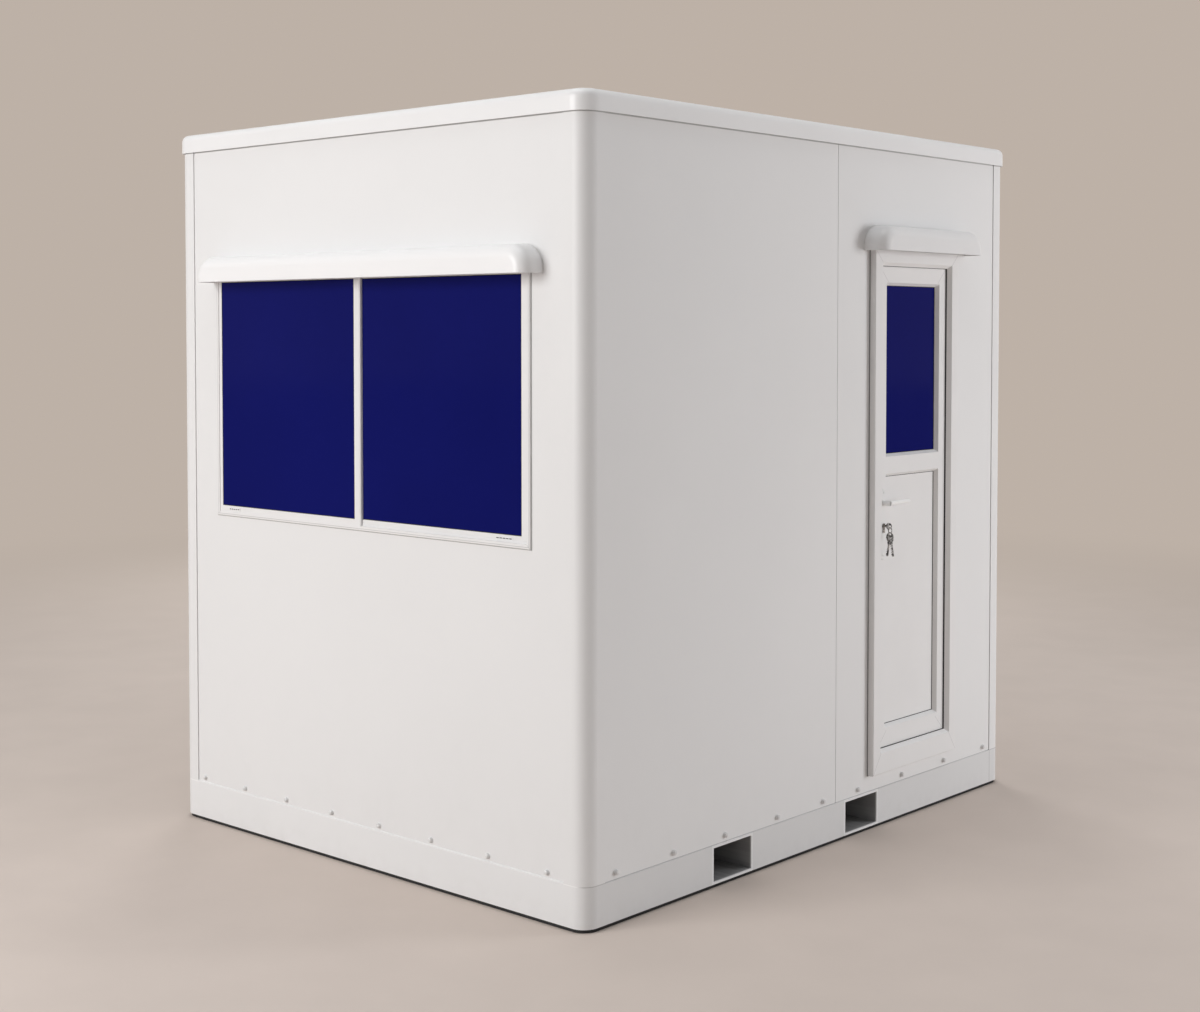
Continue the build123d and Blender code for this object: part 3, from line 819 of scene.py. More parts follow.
def hollow_out(piece, out, width):
    """Cut right through a piece along a direction, so that a wall of this width is left."""
    choose(piece, "FACE", lambda face: abs(face.normal.dot(out)) > ALIGNED)
    bpy.ops.mesh.inset(thickness=width, use_individual=True)
    bpy.ops.mesh.bridge_edge_loops()


def face_out(piece):
    """Merge doubles and turn every face outward."""
    take(piece)
    bpy.ops.object.mode_set(mode="EDIT")
    bpy.ops.mesh.select_all(action="SELECT")
    bpy.ops.mesh.remove_doubles(threshold=NEAR)
    bpy.ops.mesh.normals_make_consistent(inside=False)
    deselect()


def combine(piece, other, operation):
    """Join or cut a piece with another, which is used up."""
    take(piece)
    bpy.ops.object.modifier_add(type="BOOLEAN")
    step = piece.modifiers[-1]
    step.operation = operation
    step.object = other
    step.solver = "EXACT"
    bpy.ops.object.modifier_apply(modifier=step.name)
    discard(other)


def round_edges(piece, width, segments):
    """Round every sharp edge of a piece."""
    take(piece)
    bpy.ops.object.modifier_add(type="BEVEL")
    step = piece.modifiers[-1]
    step.width = width
    step.segments = segments
    step.limit_method = "ANGLE"
    step.angle_limit = SHARP_ANGLE
    bpy.ops.object.modifier_apply(modifier=step.name)


def join(name, pieces):
    """Join pieces into one."""
    take(*pieces)
    bpy.ops.object.join()
    joined = started(name)
    deselect()
    return joined


def put(piece, turn, point):
    """Place a piece modelled at the origin, and keep the place in its mesh."""
    piece.matrix_world = Matrix.Translation(point) @ turn.to_4x4()
    take(piece)
    bpy.ops.object.transform_apply(location=True, rotation=True, scale=True)


def repeat(pattern, name, places):
    """Copy a fitting to each point, with its turn, as one piece."""
    copies = []
    for point, turn in places:
        take(pattern)
        bpy.ops.object.duplicate()
        copies.append(bpy.context.object)
        put(copies[-1], turn, point)
    return join(name, copies)


def facing(*direction):
    """Turn that points a fitting's upright axis in a direction."""
    return Vector(direction).to_track_quat("Z", "Y").to_matrix()


def discard(piece):
    """Remove a piece that has been used up."""
    take(piece)
    bpy.ops.object.delete()


def hand_over(piece, body, slot, finish=None, angle=35.0):
    """Shade, finish and attach a piece; its finish is its slot's own, unless another is named."""
    take(piece)
    bpy.ops.object.shade_smooth_by_angle(angle=math.radians(angle))
    piece.data.materials.clear()
    piece.data.materials.append(bpy.data.materials[f"finish_{finish or slot}"])
    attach(piece, body)
    deselect()


def on_front(across, up, out):
    """Point on the window wall."""
    return Vector((across, FRONT_FACE - out, up))


def on_door(across, up, out):
    """Point on the door wall."""
    return Vector((DOOR_FACE + out, across, up))


def outward(wall):
    """Direction out of a wall."""
    return wall(0.0, 0.0, 1.0) - wall(0.0, 0.0, 0.0)


def wall_box(name, wall, area, back, front):
    """Box over a rectangle of a wall, between two depths."""
    left, right, bottom, top = area
    return add_box(name, wall(left, bottom, back), wall(right, top, front))


def wall_ring(name, wall, area, width, back, front, rounding):
    """Rectangular ring on a wall with its front edges rounded."""
    piece = wall_box(name, wall, area, back, front)
    out = outward(wall)
    level = wall(0.0, 0.0, front).dot(out)
    hollow_out(piece, out, width)

    def along_rim(edge):
        if any(abs(corner.co.dot(out) - level) > NEAR for corner in edge.verts):
            return False
        return len({tuple(round(n, 2) for n in face.normal) for face in edge.link_faces}) > 1

    soften(piece, min(rounding, width * 0.5), 2, along_rim)
    face_out(piece)
    return piece


def lock_box(name, half, edge, depths, levels):
    """Box on the lock's middle line, between two depths from an edge and two levels."""
    first = (LOCK_LINE - half, edge + depths[0], levels[0])
    return add_box(name, first, (LOCK_LINE + half, edge + depths[1], levels[1]))


def domed_bolt(name, radius, height, sides):
    """Bolt with a flat washer rim, upright sides and a domed top, standing up from the origin."""
    washer_share, rim_share, rounding_share, outer_share = 0.16, 0.14, 0.6, 0.95
    dome_shares = ((0.50, 0.97), (0.18, 0.86), (0.11, 0.70), (0.05, 0.45))
    washer = height * washer_share
    piece = add_disc(name, radius, 0.0, washer, sides)
    raise_top(piece, height, dome_shares, radius * rim_share)
    soften(piece, washer * rounding_share, 2, lambda edge: (
        abs(middle(edge).z - washer) < NEAR and middle(edge).xy.length > radius * outer_share
    ))
    face_out(piece)
    return piece


def cross_screw(name, radius, height, sides):
    """Raised screw head with a cross slot, standing up from the origin."""
    sunk_share, side_share, slot_floor_share = 0.2, 0.4, 0.35
    slot_reach_share, slot_half_share = 0.62, 0.13
    dome_shares = ((0.35, 0.86), (0.20, 0.66))
    piece = add_disc(name, radius, -height * sunk_share, height * side_share, sides)
    raise_top(piece, height, dome_shares)
    far, slim, floor = radius * slot_reach_share, radius * slot_half_share, height * slot_floor_share
    first = add_box("slot", (-far, -slim, floor), (far, slim, OVERRUN))
    second = add_box("slot", (-slim, -far, floor), (slim, far, OVERRUN))
    combine(first, second, "UNION")
    combine(piece, first, "DIFFERENCE")
    face_out(piece)
    return piece


def lever_handle(name, radius, rise, length, sides):
    """Lever: collar, neck, elbow and a flattened grip, standing up from the origin."""
    collar, elbow, elbow_steps = 0.0035, 0.013, 8
    collar_share, collar_taper_share, neck_inset_share = 1.28, 0.95, 0.22
    grip_shares = ((0.22, 0.96, 0.82), (0.39, 0.95, 0.86), (0.39, 0.94, 0.94))
    tip_steps = ((0.0100, 0.90, 0.90), (0.0040, 0.78, 0.74), (0.0015, 0.60, 0.55))
    grip = length - elbow - sum(run for run, width, depth in tip_steps)
    deselect()
    bpy.ops.mesh.primitive_circle_add(vertices=sides, radius=radius * collar_share, fill_type="NGON")
    piece = started(name)
    choose(piece, "FACE", lambda face: True)
    push((0.0, 0.0, collar), (collar_taper_share, collar_taper_share, 1.0))
    bpy.ops.mesh.inset(thickness=radius * neck_inset_share)
    push((0.0, 0.0, rise - collar - elbow))
    bpy.ops.mesh.spin(
        steps=elbow_steps, angle=math.pi / 2, center=(elbow, 0.0, rise - elbow), axis=(0.0, 1.0, 0.0)
    )
    for share, width, depth in grip_shares:
        push((grip * share, 0.0, 0.0), (1.0, width, depth))
    for run, width, depth in tip_steps:
        push((run, 0.0, 0.0), (1.0, width, depth))
    face_out(piece)
    return piece


def door_key(name, bow, stretch, length, thickness):
    """Key lying flat round its ring hole, blade along the negative first axis."""
    bow_sides, bow_inset_share = 40, 0.16
    hole_radius, hole_inset, hole_sides = 0.004, 0.007, 28
    neck_half, neck_length = 0.0055, 0.006
    blade_half, tip_bevel = 0.0042, 0.0028
    first_notch, notch_pitch, notch_half, notch_bevel = 0.012, 0.0066, 0.0021, 0.0011
    notch_depths = (0.0016, 0.0026, 0.0012, 0.0022, 0.0030)
    groove_low, groove_high, groove_end, groove_floor_share = 0.0004, 0.0020, 0.008, 0.45
    half = thickness / 2
    shift = bow * stretch - hole_inset
    shoulder = -shift - bow * stretch
    tip = hole_inset - length
    piece = add_disc(name, bow, -half, half, bow_sides)
    choose(piece, "FACE", lambda face: abs(face.normal.z) > ALIGNED)
    bpy.ops.mesh.inset(thickness=bow * bow_inset_share, use_individual=True)
    bpy.ops.mesh.select_all(action="SELECT")
    bpy.ops.transform.resize(value=(stretch, 1.0, 1.0))
    bpy.ops.transform.translate(value=(-shift, 0.0, 0.0))
    neck = add_box("neck", (shoulder - neck_length, -neck_half, -half), (-shift, neck_half, half))
    combine(piece, neck, "UNION")
    blade = add_box("blade", (tip, -blade_half, -half), (shoulder, blade_half, half))
    soften(blade, tip_bevel, 1, edges_at(x=tip, z=0.0))
    combine(piece, blade, "UNION")
    for step, depth in enumerate(notch_depths):
        at = shoulder - first_notch - notch_pitch * step
        floor, outside = depth - blade_half, -blade_half - OVERRUN
        notch = add_box("notch", (at - notch_half, floor, -OVERRUN), (at + notch_half, outside, OVERRUN))
        soften(notch, notch_bevel, 1, edges_at(y=floor, z=0.0))
        combine(piece, notch, "DIFFERENCE")
    for side in (-1.0, 1.0):
        inner = (tip - OVERRUN, groove_low, side * half * groove_floor_share)
        groove = add_box("groove", inner, (shoulder - groove_end, groove_high, side * OVERRUN))
        combine(piece, groove, "DIFFERENCE")
    hole = add_disc("hole", hole_radius, -OVERRUN, OVERRUN, hole_sides)
    combine(piece, hole, "DIFFERENCE")
    face_out(piece)
    round_edges(piece, FINE_ROUND, 1)
    return piece


def hood_bead(name, wall, area, width):
    """Bead of sealant along the top and ends of a rain hood."""
    left, right, bottom, top = area
    top += width
    outer = (left - width, right + width, bottom, top)
    piece = wall_box(name, wall, outer, -SINK, width * SEALANT_PROUD_SHARE)
    out = outward(wall)

    def upper_corner(edge):
        run = (edge.verts[0].co - edge.verts[1].co).normalized()
        return abs(middle(edge).z - top) < NEAR and abs(run.dot(out)) > ALIGNED

    soften(piece, HOOD_CORNER + width, 12, upper_corner)
    hollow_out(piece, out, width * SEALANT_HOLD_SHARE)
    bpy.ops.mesh.select_all(action="SELECT")
    cut = (0.0, 0.0, bottom + width * SEALANT_END_SHARE)
    bpy.ops.mesh.bisect(plane_co=cut, plane_no=(0.0, 0.0, 1.0), clear_inner=True, use_fill=True)
    face_out(piece)
    round_edges(piece, width * SEALANT_HOOD_ROUND_SHARE, 2)
    return piece


class CABIN_OT_finishes(bpy.types.Operator):
    """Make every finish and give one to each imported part"""

    bl_idname = "cabin.finishes"
    bl_label = "Finishes"

    def execute(self, context):
        tones = context.scene.cabin_colours
        door_lines = (DOOR_FRAME, DOOR_LIP)
        leaf_lines = (DOOR_LEAF, grown(DOOR_LEAF, -LEAF_FACE))
        sash_lines = (WINDOW_FLANGE, WINDOW_CLEAR)
        flange_shade_line = grown(WINDOW_FLANGE, -FLANGE_SHADE_INSET)
        # Painted shade: the door frame darkens towards its back.
        back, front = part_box("door_frame")
        depth = (front.x, back.x)
        makers = (
            wall_paint, base_paint, bare_steel, black_rubber, floor_vinyl, ceiling_board,
            roof_gelcoat, white_profile, blue_glass, white_handle, nickel,
        )
        made = {maker.__name__: maker(f"finish_{maker.__name__}", tones) for maker in makers}
        made["hinge_white"] = white_handle("finish_hinge_white", tones, PLATE_TINT)
        for tint, factor in SEALANT_TINTS.items():
            sealant(f"finish_sealant_{tint}", tones, factor)
        zinc("finish_zinc", tones)
        special = {
            "fork_pocket_front": fork_paint("finish_fork_pocket", tones),
            # Lighter gelcoat on the window's hood is painted light, darker gelcoat on the door's hood
            # painted shade.
            "window_hood": roof_gelcoat("finish_window_hood", tones, WINDOW_HOOD_LIGHT),
            "door_hood": roof_gelcoat("finish_door_hood", tones, DOOR_HOOD_SHADE),
            "handle_plates": white_handle("finish_handle_plates", tones, PLATE_TINT),
            "door_frame": white_profile("finish_door_frame", tones, "y", door_lines, depth),
            "door_leaf": white_profile("finish_door_leaf", tones, "y", leaf_lines),
            "window_frame": white_profile("finish_window_frame", tones, "x", sash_lines, ring=flange_shade_line),
        }
        special["fork_pocket_rear"] = special["fork_pocket_front"]
        for name, part in frame["nodes"].items():
            slot = part.material_slots[0].material.name
            part.data.materials[0] = special.get(name) or made[slot]
        return {"FINISHED"}


class CABIN_OT_base_bolts(bpy.types.Operator):
    """Bolt the wall panels to the base frame, along all four walls"""

    bl_idname = "cabin.base_bolts"
    bl_label = "Base bolts"

    def execute(self, context):
        sizes = context.scene.cabin_sizes
        level = sizes.bolt_level
        pattern = domed_bolt("bolt", sizes.bolt_radius, sizes.bolt_height, sizes.dome_sides)
        rows = {
            "bolts_front": [((x, FRONT_FACE, level), facing(0, -1, 0)) for x in FRONT_BOLTS],
            "bolts_back": [((-x, -FRONT_FACE, level), facing(0, 1, 0)) for x in FRONT_BOLTS],
            "bolts_right": [((DOOR_FACE, y, level), facing(1, 0, 0)) for y in SIDE_BOLTS],
            "bolts_left": [((-DOOR_FACE, y, level), facing(-1, 0, 0)) for y in SIDE_BOLTS],
        }
        for name, places in rows.items():
            hand_over(repeat(pattern, name, places), "cabin", "nickel", "zinc")
        discard(pattern)
        return {"FINISHED"}


class CABIN_OT_base_beads(bpy.types.Operator):
    """Sealant fillets along the base frame's ledge on the window wall and the back wall, in the brighter
    gelcoat white as a painted highlight
    """

    bl_idname = "cabin.base_beads"
    bl_label = "Base beads"

    def execute(self, context):
        rise = context.scene.cabin_sizes.ledge_bead
        ledge = FRONT_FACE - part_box("base_front")[0].y - LAP
        outer = FRONT_FACE - ledge
        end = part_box("front_wall")[1].x
        top = BASE_TOP + rise
        area = (-end, end, BASE_TOP - SINK, top)
        for side, turn in (("front", 0.0), ("back", math.pi)):
            bead = wall_box(f"base_bead_{side}", on_front, area, -SINK, ledge)
            soften(bead, ledge * LEDGE_ROUND_SHARE, 3, edges_at(y=outer, z=top))
            face_out(bead)
            put(bead, Matrix.Rotation(turn, 3, "Z"), (0.0, 0.0, 0.0))
            hand_over(bead, "cabin", "roof_gelcoat")
        return {"FINISHED"}


class CABIN_OT_corner_pads(bpy.types.Operator):
    """Rubber pads that close the corners between the ground strips"""

    bl_idname = "cabin.corner_pads"
    bl_label = "Corner pads"

    def execute(self, context):
        sizes = context.scene.cabin_sizes
        low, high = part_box("ground_strips")
        side = sizes.pad_side
        pad = add_box("pad", (-side, 0.0, PAD_ROOM), (0.0, side, high.z - PAD_ROOM))
        soften(pad, sizes.pad_rounding, 10, edges_at(x=0.0, y=0.0))
        face_out(pad)
        round_edges(pad, PAD_ROUND, 2)
        corners = ((high.x, low.y), (high.x, high.y), (low.x, high.y), (low.x, low.y))
        places = [
            ((*corner, 0.0), Matrix.Rotation(quarter * math.pi / 2, 3, "Z"))
            for quarter, corner in enumerate(corners)
        ]
        hand_over(repeat(pad, "corner_pads", places), "cabin", "black_rubber")
        discard(pad)
        return {"FINISHED"}


class CABIN_OT_window_fittings(bpy.types.Operator):
    """Glazing gaskets, meeting bead and drain covers of the window"""

    bl_idname = "cabin.window_fittings"
    bl_label = "Window fittings"

    def execute(self, context):
        sizes = context.scene.cabin_sizes
        panes = (("left", LEFT_PANE, LEFT_PANE_FRONT), ("right", RIGHT_PANE, RIGHT_PANE_FRONT))
        for side, pane, face in panes:
            name = f"window_gasket_{side}"
            area = grown(pane, LAP)
            back, front = face - SINK, face + PANE_GASKET_PROUD
            ring = wall_ring(name, on_front, area, sizes.gasket, back, front, PANE_GASKET_ROUND)
            hand_over(ring, "cabin", "black_rubber")

        _, meeting, low, high = reach("window_sash_left", 0)
        spans = (
            ("window_meeting_bead", RIGHT_PANE[2], RIGHT_PANE[3], RIGHT_PANE_FRONT),
            ("bottom_bead", low + MEETING_END_ROOM, RIGHT_PANE[2], RIGHT_SASH_FRONT),
            ("top_bead", RIGHT_PANE[3], high - MEETING_END_ROOM, RIGHT_SASH_FRONT),
        )
        width = sizes.meeting_bead
        front = LEFT_SASH_FRONT - LAP
        beads = []
        for name, bottom, top, back in spans:
            area = (meeting - LAP, meeting + width, bottom, top)
            bead = wall_box(name, on_front, area, back - SINK, front)
            outer = edges_at(x=meeting + width, y=FRONT_FACE - front)
            soften(bead, width * MEETING_ROUND_SHARE, 4, outer)
            face_out(bead)
            beads.append(bead)
        hand_over(join("window_meeting_bead", beads), "cabin", "white_profile")

        drains = (("left", LEFT_DRAIN, LEFT_SASH_FRONT), ("right", RIGHT_DRAIN, RIGHT_SASH_FRONT))
        for side, (start, end), face in drains:
            area = (start, end, *DRAIN_LEVELS)
            cover = wall_box(f"drain_cover_{side}", on_front, area, face - LAP, face + COVER_PROUD)
            pitch = (end - start - COVER_RIM * 2) / DRAIN_SLOTS
            for step in range(DRAIN_SLOTS):
                at = start + COVER_RIM + pitch * step
                slot = (at + COVER_BAR, at + pitch - COVER_BAR, *SLOT_LEVELS)
                cut = wall_box("slot", on_front, slot, face - OVERRUN, face + OVERRUN)
                combine(cover, cut, "DIFFERENCE")
            round_edges(cover, PLATE_ROUND, 2)
            hand_over(cover, "cabin", "white_profile")
            # Painted shadow: a black sheet behind the cover's slots, in the rubber finish.
            inner = grown(area, -HOLLOW_INSET)
            hollow = wall_box(f"drain_shadow_{side}", on_front, inner, face - LAP, face + HOLLOW_PROUD)
            round_edges(hollow, FINE_ROUND, 1)
            hand_over(hollow, "cabin", "black_rubber")
        return {"FINISHED"}


class CABIN_OT_door_seals(bpy.types.Operator):
    """Seal behind the door frame's lip and gaskets round glass and panel"""

    bl_idname = "cabin.door_seals"
    bl_label = "Door seals"

    def execute(self, context):
        sizes = context.scene.cabin_sizes
        area = grown(DOOR_LIP, DOOR_SEAL_LAP)
        ring = wall_ring("door_seal", on_door, area, sizes.seal, LEAF_FRONT, LIP_BACK, DOOR_SEAL_ROUND)
        hand_over(ring, "cabin", "black_rubber")
        back, front = INFILL_FRONT - SINK, INFILL_FRONT + DOOR_GASKET_PROUD
        for side, opening in (("glass", DOOR_GLASS), ("panel", DOOR_PANEL)):
            name = f"door_gasket_{side}"
            area = grown(opening, LAP)
            ring = wall_ring(name, on_door, area, sizes.gasket, back, front, DOOR_GASKET_ROUND)
            hand_over(ring, "door", "black_rubber")
        return {"FINISHED"}


class CABIN_OT_lock_fittings(bpy.types.Operator):
    """Lock plugs, latch, strike plate and the screws of the handle plates"""

    bl_idname = "cabin.lock_fittings"
    bl_label = "Lock fittings"

    def execute(self, context):
        sizes = context.scene.cabin_sizes
        across, up = CYLINDER
        latch_level = HANDLE[1]
        plug = add_disc("plug", PLUG_RADIUS, -PLUG_SUNK, PLUG_PROUD, PLUG_SIDES)
        first = (-KEYWAY_HALF, -KEYWAY_REACH, KEYWAY_FLOOR)
        keyway = add_box("slot", first, (KEYWAY_HALF, KEYWAY_REACH, OVERRUN))
        combine(plug, keyway, "DIFFERENCE")
        round_edges(plug, FINE_ROUND, 1)
        faces = [
            (on_door(across, up, PLATE_FRONT + CYLINDER_PROUD), facing(1, 0, 0)),
            (on_door(across, up, PLATE_BACK - CYLINDER_PROUD), facing(-1, 0, 0)),
        ]
        hand_over(repeat(plug, "lock_plugs", faces), "door", "nickel")
        discard(plug)

        low, high = up - LATCH_PLATE_BELOW, latch_level + LATCH_PLATE_ABOVE
        depths = (-LATCH_PLATE_PROUD, LATCH_PLATE_SUNK)
        plate = lock_box("latch_plate", LATCH_PLATE_HALF, LEAF_EDGE, depths, (low, high))
        soften(plate, LATCH_PLATE_CORNER, 5, edges_at(y=LEAF_EDGE + sum(depths) / 2))
        round_edges(plate, PLATE_ROUND, 1)
        latch_screw_levels = (low + LATCH_PLATE_INSET, high - LATCH_PLATE_INSET)
        levels = (latch_level - LATCH_RISE, latch_level + LATCH_RISE)
        latch = lock_box("latch", LATCH_HALF, LEAF_EDGE, (-LATCH_PROUD, -LATCH_ROOT), levels)
        slope = edges_at(x=LOCK_LINE - LATCH_HALF, y=LEAF_EDGE - LATCH_PROUD)
        soften(latch, LATCH_SLOPE, 4, slope)
        levels = (up - LOCK_BOLT_RISE, up + LOCK_BOLT_RISE)
        bolt = lock_box("bolt", LATCH_HALF, LEAF_EDGE, (-LOCK_BOLT_PROUD, -LATCH_ROOT), levels)
        round_edges(bolt, LOCK_BOLT_ROUND, 2)
        hand_over(join("lock_case", [latch, bolt, plate]), "door", "nickel")

        low, high = up - STRIKE_BELOW, latch_level + STRIKE_ABOVE
        strike_screw_levels = (low + STRIKE_INSET, up + STRIKE_MIDDLE, high - STRIKE_INSET)
        strike = lock_box("strike_plate", STRIKE_HALF, REBATE_EDGE, (-SINK, STRIKE_PROUD), (low, high))
        mouths = (
            (latch_level - LATCH_MOUTH_RISE, latch_level + LATCH_MOUTH_RISE),
            (up - LOCK_BOLT_MOUTH_RISE, up + LOCK_BOLT_MOUTH_RISE),
        )
        shadows = []
        for mouth in mouths:
            pocket = lock_box("pocket", MOUTH_HALF, REBATE_EDGE, (-OVERRUN, OVERRUN), mouth)
            combine(strike, pocket, "DIFFERENCE")
            # Painted shadow: a black sheet in each mouth of the strike plate, in the rubber finish.
            shadow = lock_box("shadow", SHADOW_HALF, REBATE_EDGE, (-SINK, SINK), mouth)
            round_edges(shadow, SHADOW_ROUND, 1)
            shadows.append(shadow)
        round_edges(strike, PLATE_ROUND, 1)
        hand_over(strike, "cabin", "nickel")
        hand_over(join("strike_pocket_shadows", shadows), "cabin", "black_rubber")

        screw = cross_screw("screw", sizes.screw_radius, sizes.screw_height, sizes.dome_sides)
        heads = [
            (on_door(across, latch_level + rise, face), facing(way, 0, 0))
            for rise in PLATE_SCREW_RISES
            for face, way in ((PLATE_FRONT, 1), (PLATE_BACK, -1))
        ]
        hand_over(repeat(screw, "plate_screws", heads), "door", "white_handle", "handle_plates")
        seat = LEAF_EDGE - LATCH_PLATE_PROUD + SCREW_SINK
        heads = [((LOCK_LINE, seat, level), facing(0, -1, 0)) for level in latch_screw_levels]
        hand_over(repeat(screw, "latch_screws", heads), "door", "nickel")
        seat = REBATE_EDGE + STRIKE_PROUD - SCREW_SINK
        heads = [((LOCK_LINE, seat, level), facing(0, 1, 0)) for level in strike_screw_levels]
        hand_over(repeat(screw, "strike_screws", heads), "cabin", "nickel")
        discard(screw)
        return {"FINISHED"}


class CABIN_OT_levers(bpy.types.Operator):
    """Lever handles outside and inside, in place of the plain ones"""

    bl_idname = "cabin.levers"
    bl_label = "Lever handles"

    def execute(self, context):
        sizes = context.scene.cabin_sizes
        across, up = HANDLE
        length = reach("lever_outside", 1)[1] - across
        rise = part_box("lever_outside")[1].x - DOOR_FACE - PLATE_FRONT - GRIP_HALF
        for side, sign, face in (("outside", 1, PLATE_FRONT + SINK), ("inside", -1, PLATE_BACK - SINK)):
            piece = lever_handle(f"lever_grip_{side}", sizes.lever_radius, rise, length, sizes.dome_sides)
            put(piece, Matrix(((0, 0, sign), (1, 0, 0), (0, sign, 0))), on_door(across, up, face))
            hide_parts(f"lever_{side}")
            hand_over(piece, "lever", "white_handle", angle=50.0)
        return {"FINISHED"}


class CABIN_OT_keys(bpy.types.Operator):
    """Split ring and the two spare keys that hang from the lock"""

    bl_idname = "cabin.keys"
    bl_label = "Keys"

    def execute(self, context):
        sizes = context.scene.cabin_sizes
        wire = sizes.ring_wire
        start = (sizes.ring_radius, 0.0, 0.0)
        deselect()
        bpy.ops.mesh.primitive_circle_add(
            vertices=WIRE_SIDES, radius=wire, location=start, rotation=(math.pi / 2, 0.0, 0.0)
        )
        ring = started("split_ring")
        bpy.ops.object.modifier_add(type="SCREW")
        coil = ring.modifiers[-1]
        coil.angle = math.radians(COIL_TURN)
        coil.screw_offset = wire * COIL_PITCH_SHARE
        coil.steps = COIL_STEPS
        coil.render_steps = COIL_STEPS
        bpy.ops.object.modifier_apply(modifier=coil.name)
        choose(ring, "EDGE", lambda edge: len(edge.link_faces) == 1)
        bpy.ops.mesh.edge_face_add()
        face_out(ring)
        upright = Matrix(((0, 0, 1), (1, 0, 0), (0, 1, 0)))
        put(ring, upright, RING_CENTRE - Vector((wire * COIL_PITCH_SHARE / 2, 0, 0)))
        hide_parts("key_ring")
        hand_over(ring, "door", "nickel", angle=60.0)

        hang = Matrix(((0, 1, 0), (0, 0, 1), (1, 0, 0)))
        keys = []
        for side in (-1, 1):
            key = door_key("key", KEY_BOW, KEY_STRETCH_SHARE, KEY_LENGTH, KEY_THICKNESS)
            put(key, Matrix.Identity(3), (-KEY_PLAY, 0.0, 0.0))
            lean = Matrix.Rotation(math.radians(KEY_LEAN * side), 3, "Z")
            put(key, hang @ lean, HOLE_POINT + Vector((0.0, KEY_HALF_PITCH * side, 0.0)))
            keys.append(key)
        spares = join("spare_door_keys", keys)
        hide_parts("spare_keys")
        hand_over(spares, "door", "nickel", angle=25.0)
        return {"FINISHED"}


class CABIN_OT_hinge_screws(bpy.types.Operator):
    """Screws in both leaves of every hinge"""

    bl_idname = "cabin.hinge_screws"
    bl_label = "Hinge screws"

    def execute(self, context):
        sizes = context.scene.cabin_sizes
        screw = cross_screw("screw", sizes.screw_radius, sizes.screw_height, sizes.dome_sides)
        face = LEAF_BACK - HINGE_LEAF
        for name, body, way in (("frame", "cabin", -1), ("door", "door", 1)):
            line = HINGE_LINE - way * HINGE_SCREW_ASIDE
            heads = [
                (on_door(line, level + way * rise, face), facing(-1, 0, 0))
                for level in HINGE_LEVELS
                for rise in HINGE_SCREW_RISES
            ]
            hand_over(repeat(screw, f"hinge_screws_{name}", heads), body, "hinge_white")
        discard(screw)
        return {"FINISHED"}


class CABIN_OT_sealant(bpy.types.Operator):
    """Sealant beads round the window, the door frame and the rain hoods"""

    bl_idname = "cabin.sealant"
    bl_label = "Sealant beads"

    def execute(self, context):
        width = context.scene.cabin_sizes.sealant
        hold, proud = width * SEALANT_HOLD_SHARE, width * SEALANT_PROUD_SHARE
        rounding = width * SEALANT_ROUND_SHARE
        # The door's bead is tinted dark grey as painted shade in its joint with the wall.
        edges = (("window", on_front, WINDOW_FLANGE, "pale"), ("door", on_door, DOOR_FRAME, "grey"))
        for name, wall, area, tint in edges:
            outer = grown(area, width)
            bead = wall_ring(f"sealant_{name}", wall, outer, hold, -SINK, proud, rounding)
            hand_over(bead, "cabin", "black_rubber", f"sealant_{tint}")
        for name, wall, area in (("window_hood", on_front, WINDOW_HOOD), ("door_hood", on_door, DOOR_HOOD)):
            bead = hood_bead(f"sealant_{name}", wall, area, width)
            hand_over(bead, "cabin", "white_profile", "sealant_white")
        return {"FINISHED"}


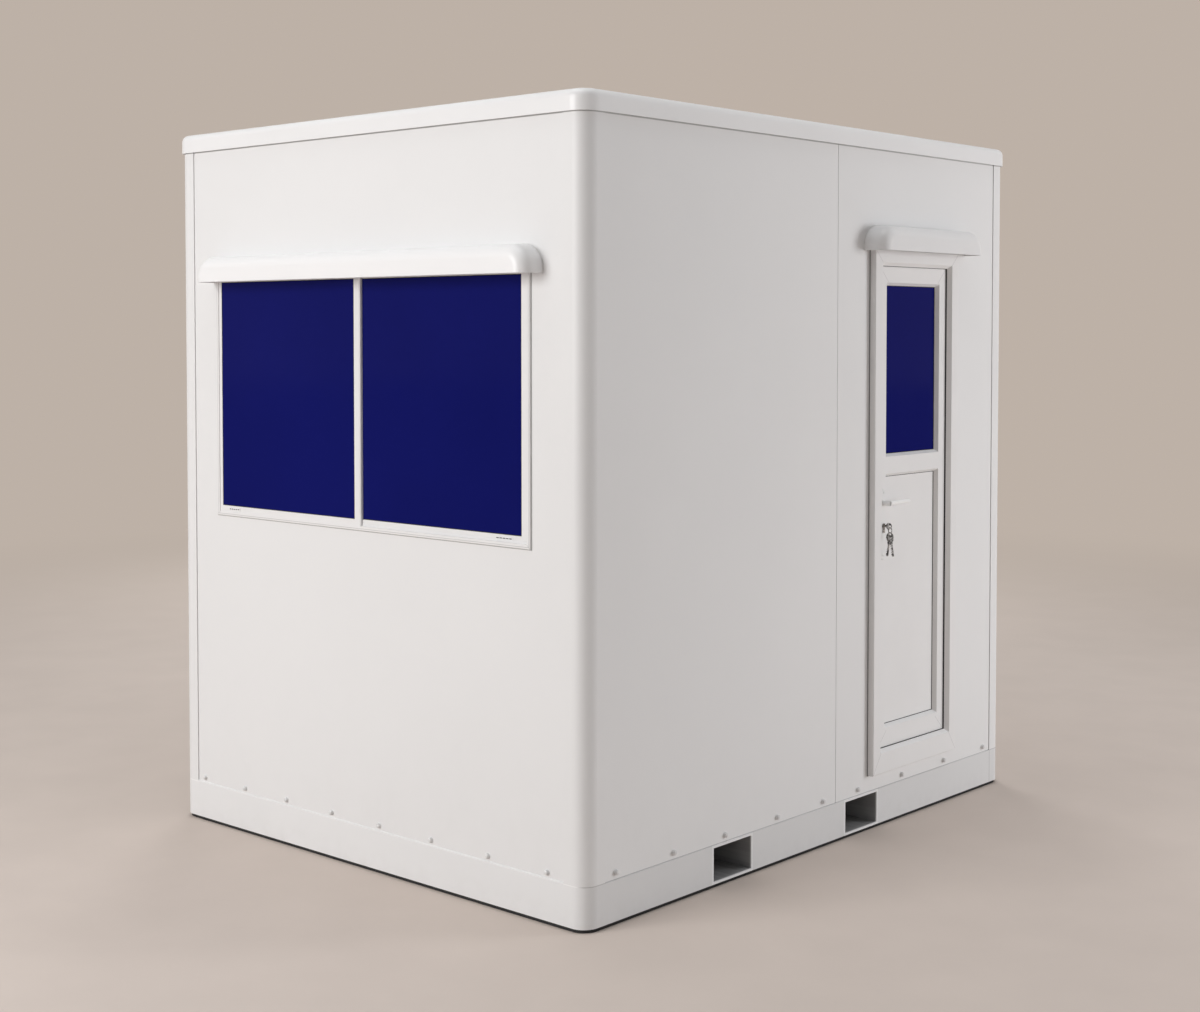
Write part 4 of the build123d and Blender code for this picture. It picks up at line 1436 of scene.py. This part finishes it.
class CABIN_OT_stage(bpy.types.Operator):
    """Pale floor, soft light and the camera"""

    bl_idname = "cabin.stage"
    bl_label = "Stage"

    def execute(self, context):
        tones = context.scene.cabin_colours
        scene = context.scene
        scene.view_settings.view_transform = "Standard"
        deselect()
        bpy.ops.mesh.primitive_plane_add(size=FLOOR_SIZE, location=(0.0, 0.0, 0.0))
        floor = started("stage_floor")
        floor.data.materials.append(stage_floor("finish_stage_floor", tones))
        stage_world(scene, tones)
        for name, place, target, size, power in LAMPS:
            lamp = soft_light(name, place, target, size, power)
            lamp.visible_glossy = name not in UNMIRRORED_LAMPS
            if name == "light_side":
                lamp.data.color = SIDE_LAMP_COLOUR
        camera = bpy.data.cameras.new("camera")
        camera.sensor_width = CAMERA_SENSOR
        camera.lens = CAMERA_LENS
        camera.shift_y = CAMERA_SHIFT
        viewer = bpy.data.objects.new("camera", camera)
        scene.collection.objects.link(viewer)
        viewer.location = CAMERA_PLACE
        viewer.rotation_euler = CAMERA_TURN
        scene.camera = viewer
        return {"FINISHED"}


class CABIN_PT_panel(bpy.types.Panel):
    """Lists the cabin's operators in the sidebar"""

    bl_idname = "CABIN_PT_panel"
    bl_label = "Guard cabin"
    bl_space_type = "VIEW_3D"
    bl_region_type = "UI"
    bl_category = "Cabin"

    def draw(self, context):
        for step in STEPS:
            self.layout.operator(step.bl_idname)
        for group in (context.scene.cabin_sizes, context.scene.cabin_colours):
            for name in group.__annotations__:
                self.layout.prop(group, name)


STEPS = (
    CABIN_OT_finishes,
    CABIN_OT_base_bolts,
    CABIN_OT_base_beads,
    CABIN_OT_corner_pads,
    CABIN_OT_window_fittings,
    CABIN_OT_door_seals,
    CABIN_OT_lock_fittings,
    CABIN_OT_levers,
    CABIN_OT_keys,
    CABIN_OT_hinge_screws,
    CABIN_OT_sealant,
    CABIN_OT_stage,
)
CLASSES = (CabinColours, CabinSizes, *STEPS, CABIN_PT_panel)


def register():
    """Register the classes and the cabin's settings."""
    for kind in CLASSES:
        bpy.utils.register_class(kind)
    bpy.types.Scene.cabin_colours = PointerProperty(type=CabinColours)
    bpy.types.Scene.cabin_sizes = PointerProperty(type=CabinSizes)


def unregister():
    """Remove the settings and the classes."""
    del bpy.types.Scene.cabin_sizes
    del bpy.types.Scene.cabin_colours
    for kind in reversed(CLASSES):
        bpy.utils.unregister_class(kind)


def main():
    """Finish the cabin."""
    register()
    bpy.ops.cabin.finishes()
    bpy.ops.cabin.base_bolts()
    bpy.ops.cabin.base_beads()
    bpy.ops.cabin.corner_pads()
    bpy.ops.cabin.window_fittings()
    bpy.ops.cabin.door_seals()
    bpy.ops.cabin.lock_fittings()
    bpy.ops.cabin.levers()
    bpy.ops.cabin.keys()
    bpy.ops.cabin.hinge_screws()
    bpy.ops.cabin.sealant()
    bpy.ops.cabin.stage()


if __name__ == "__main__":
    main()
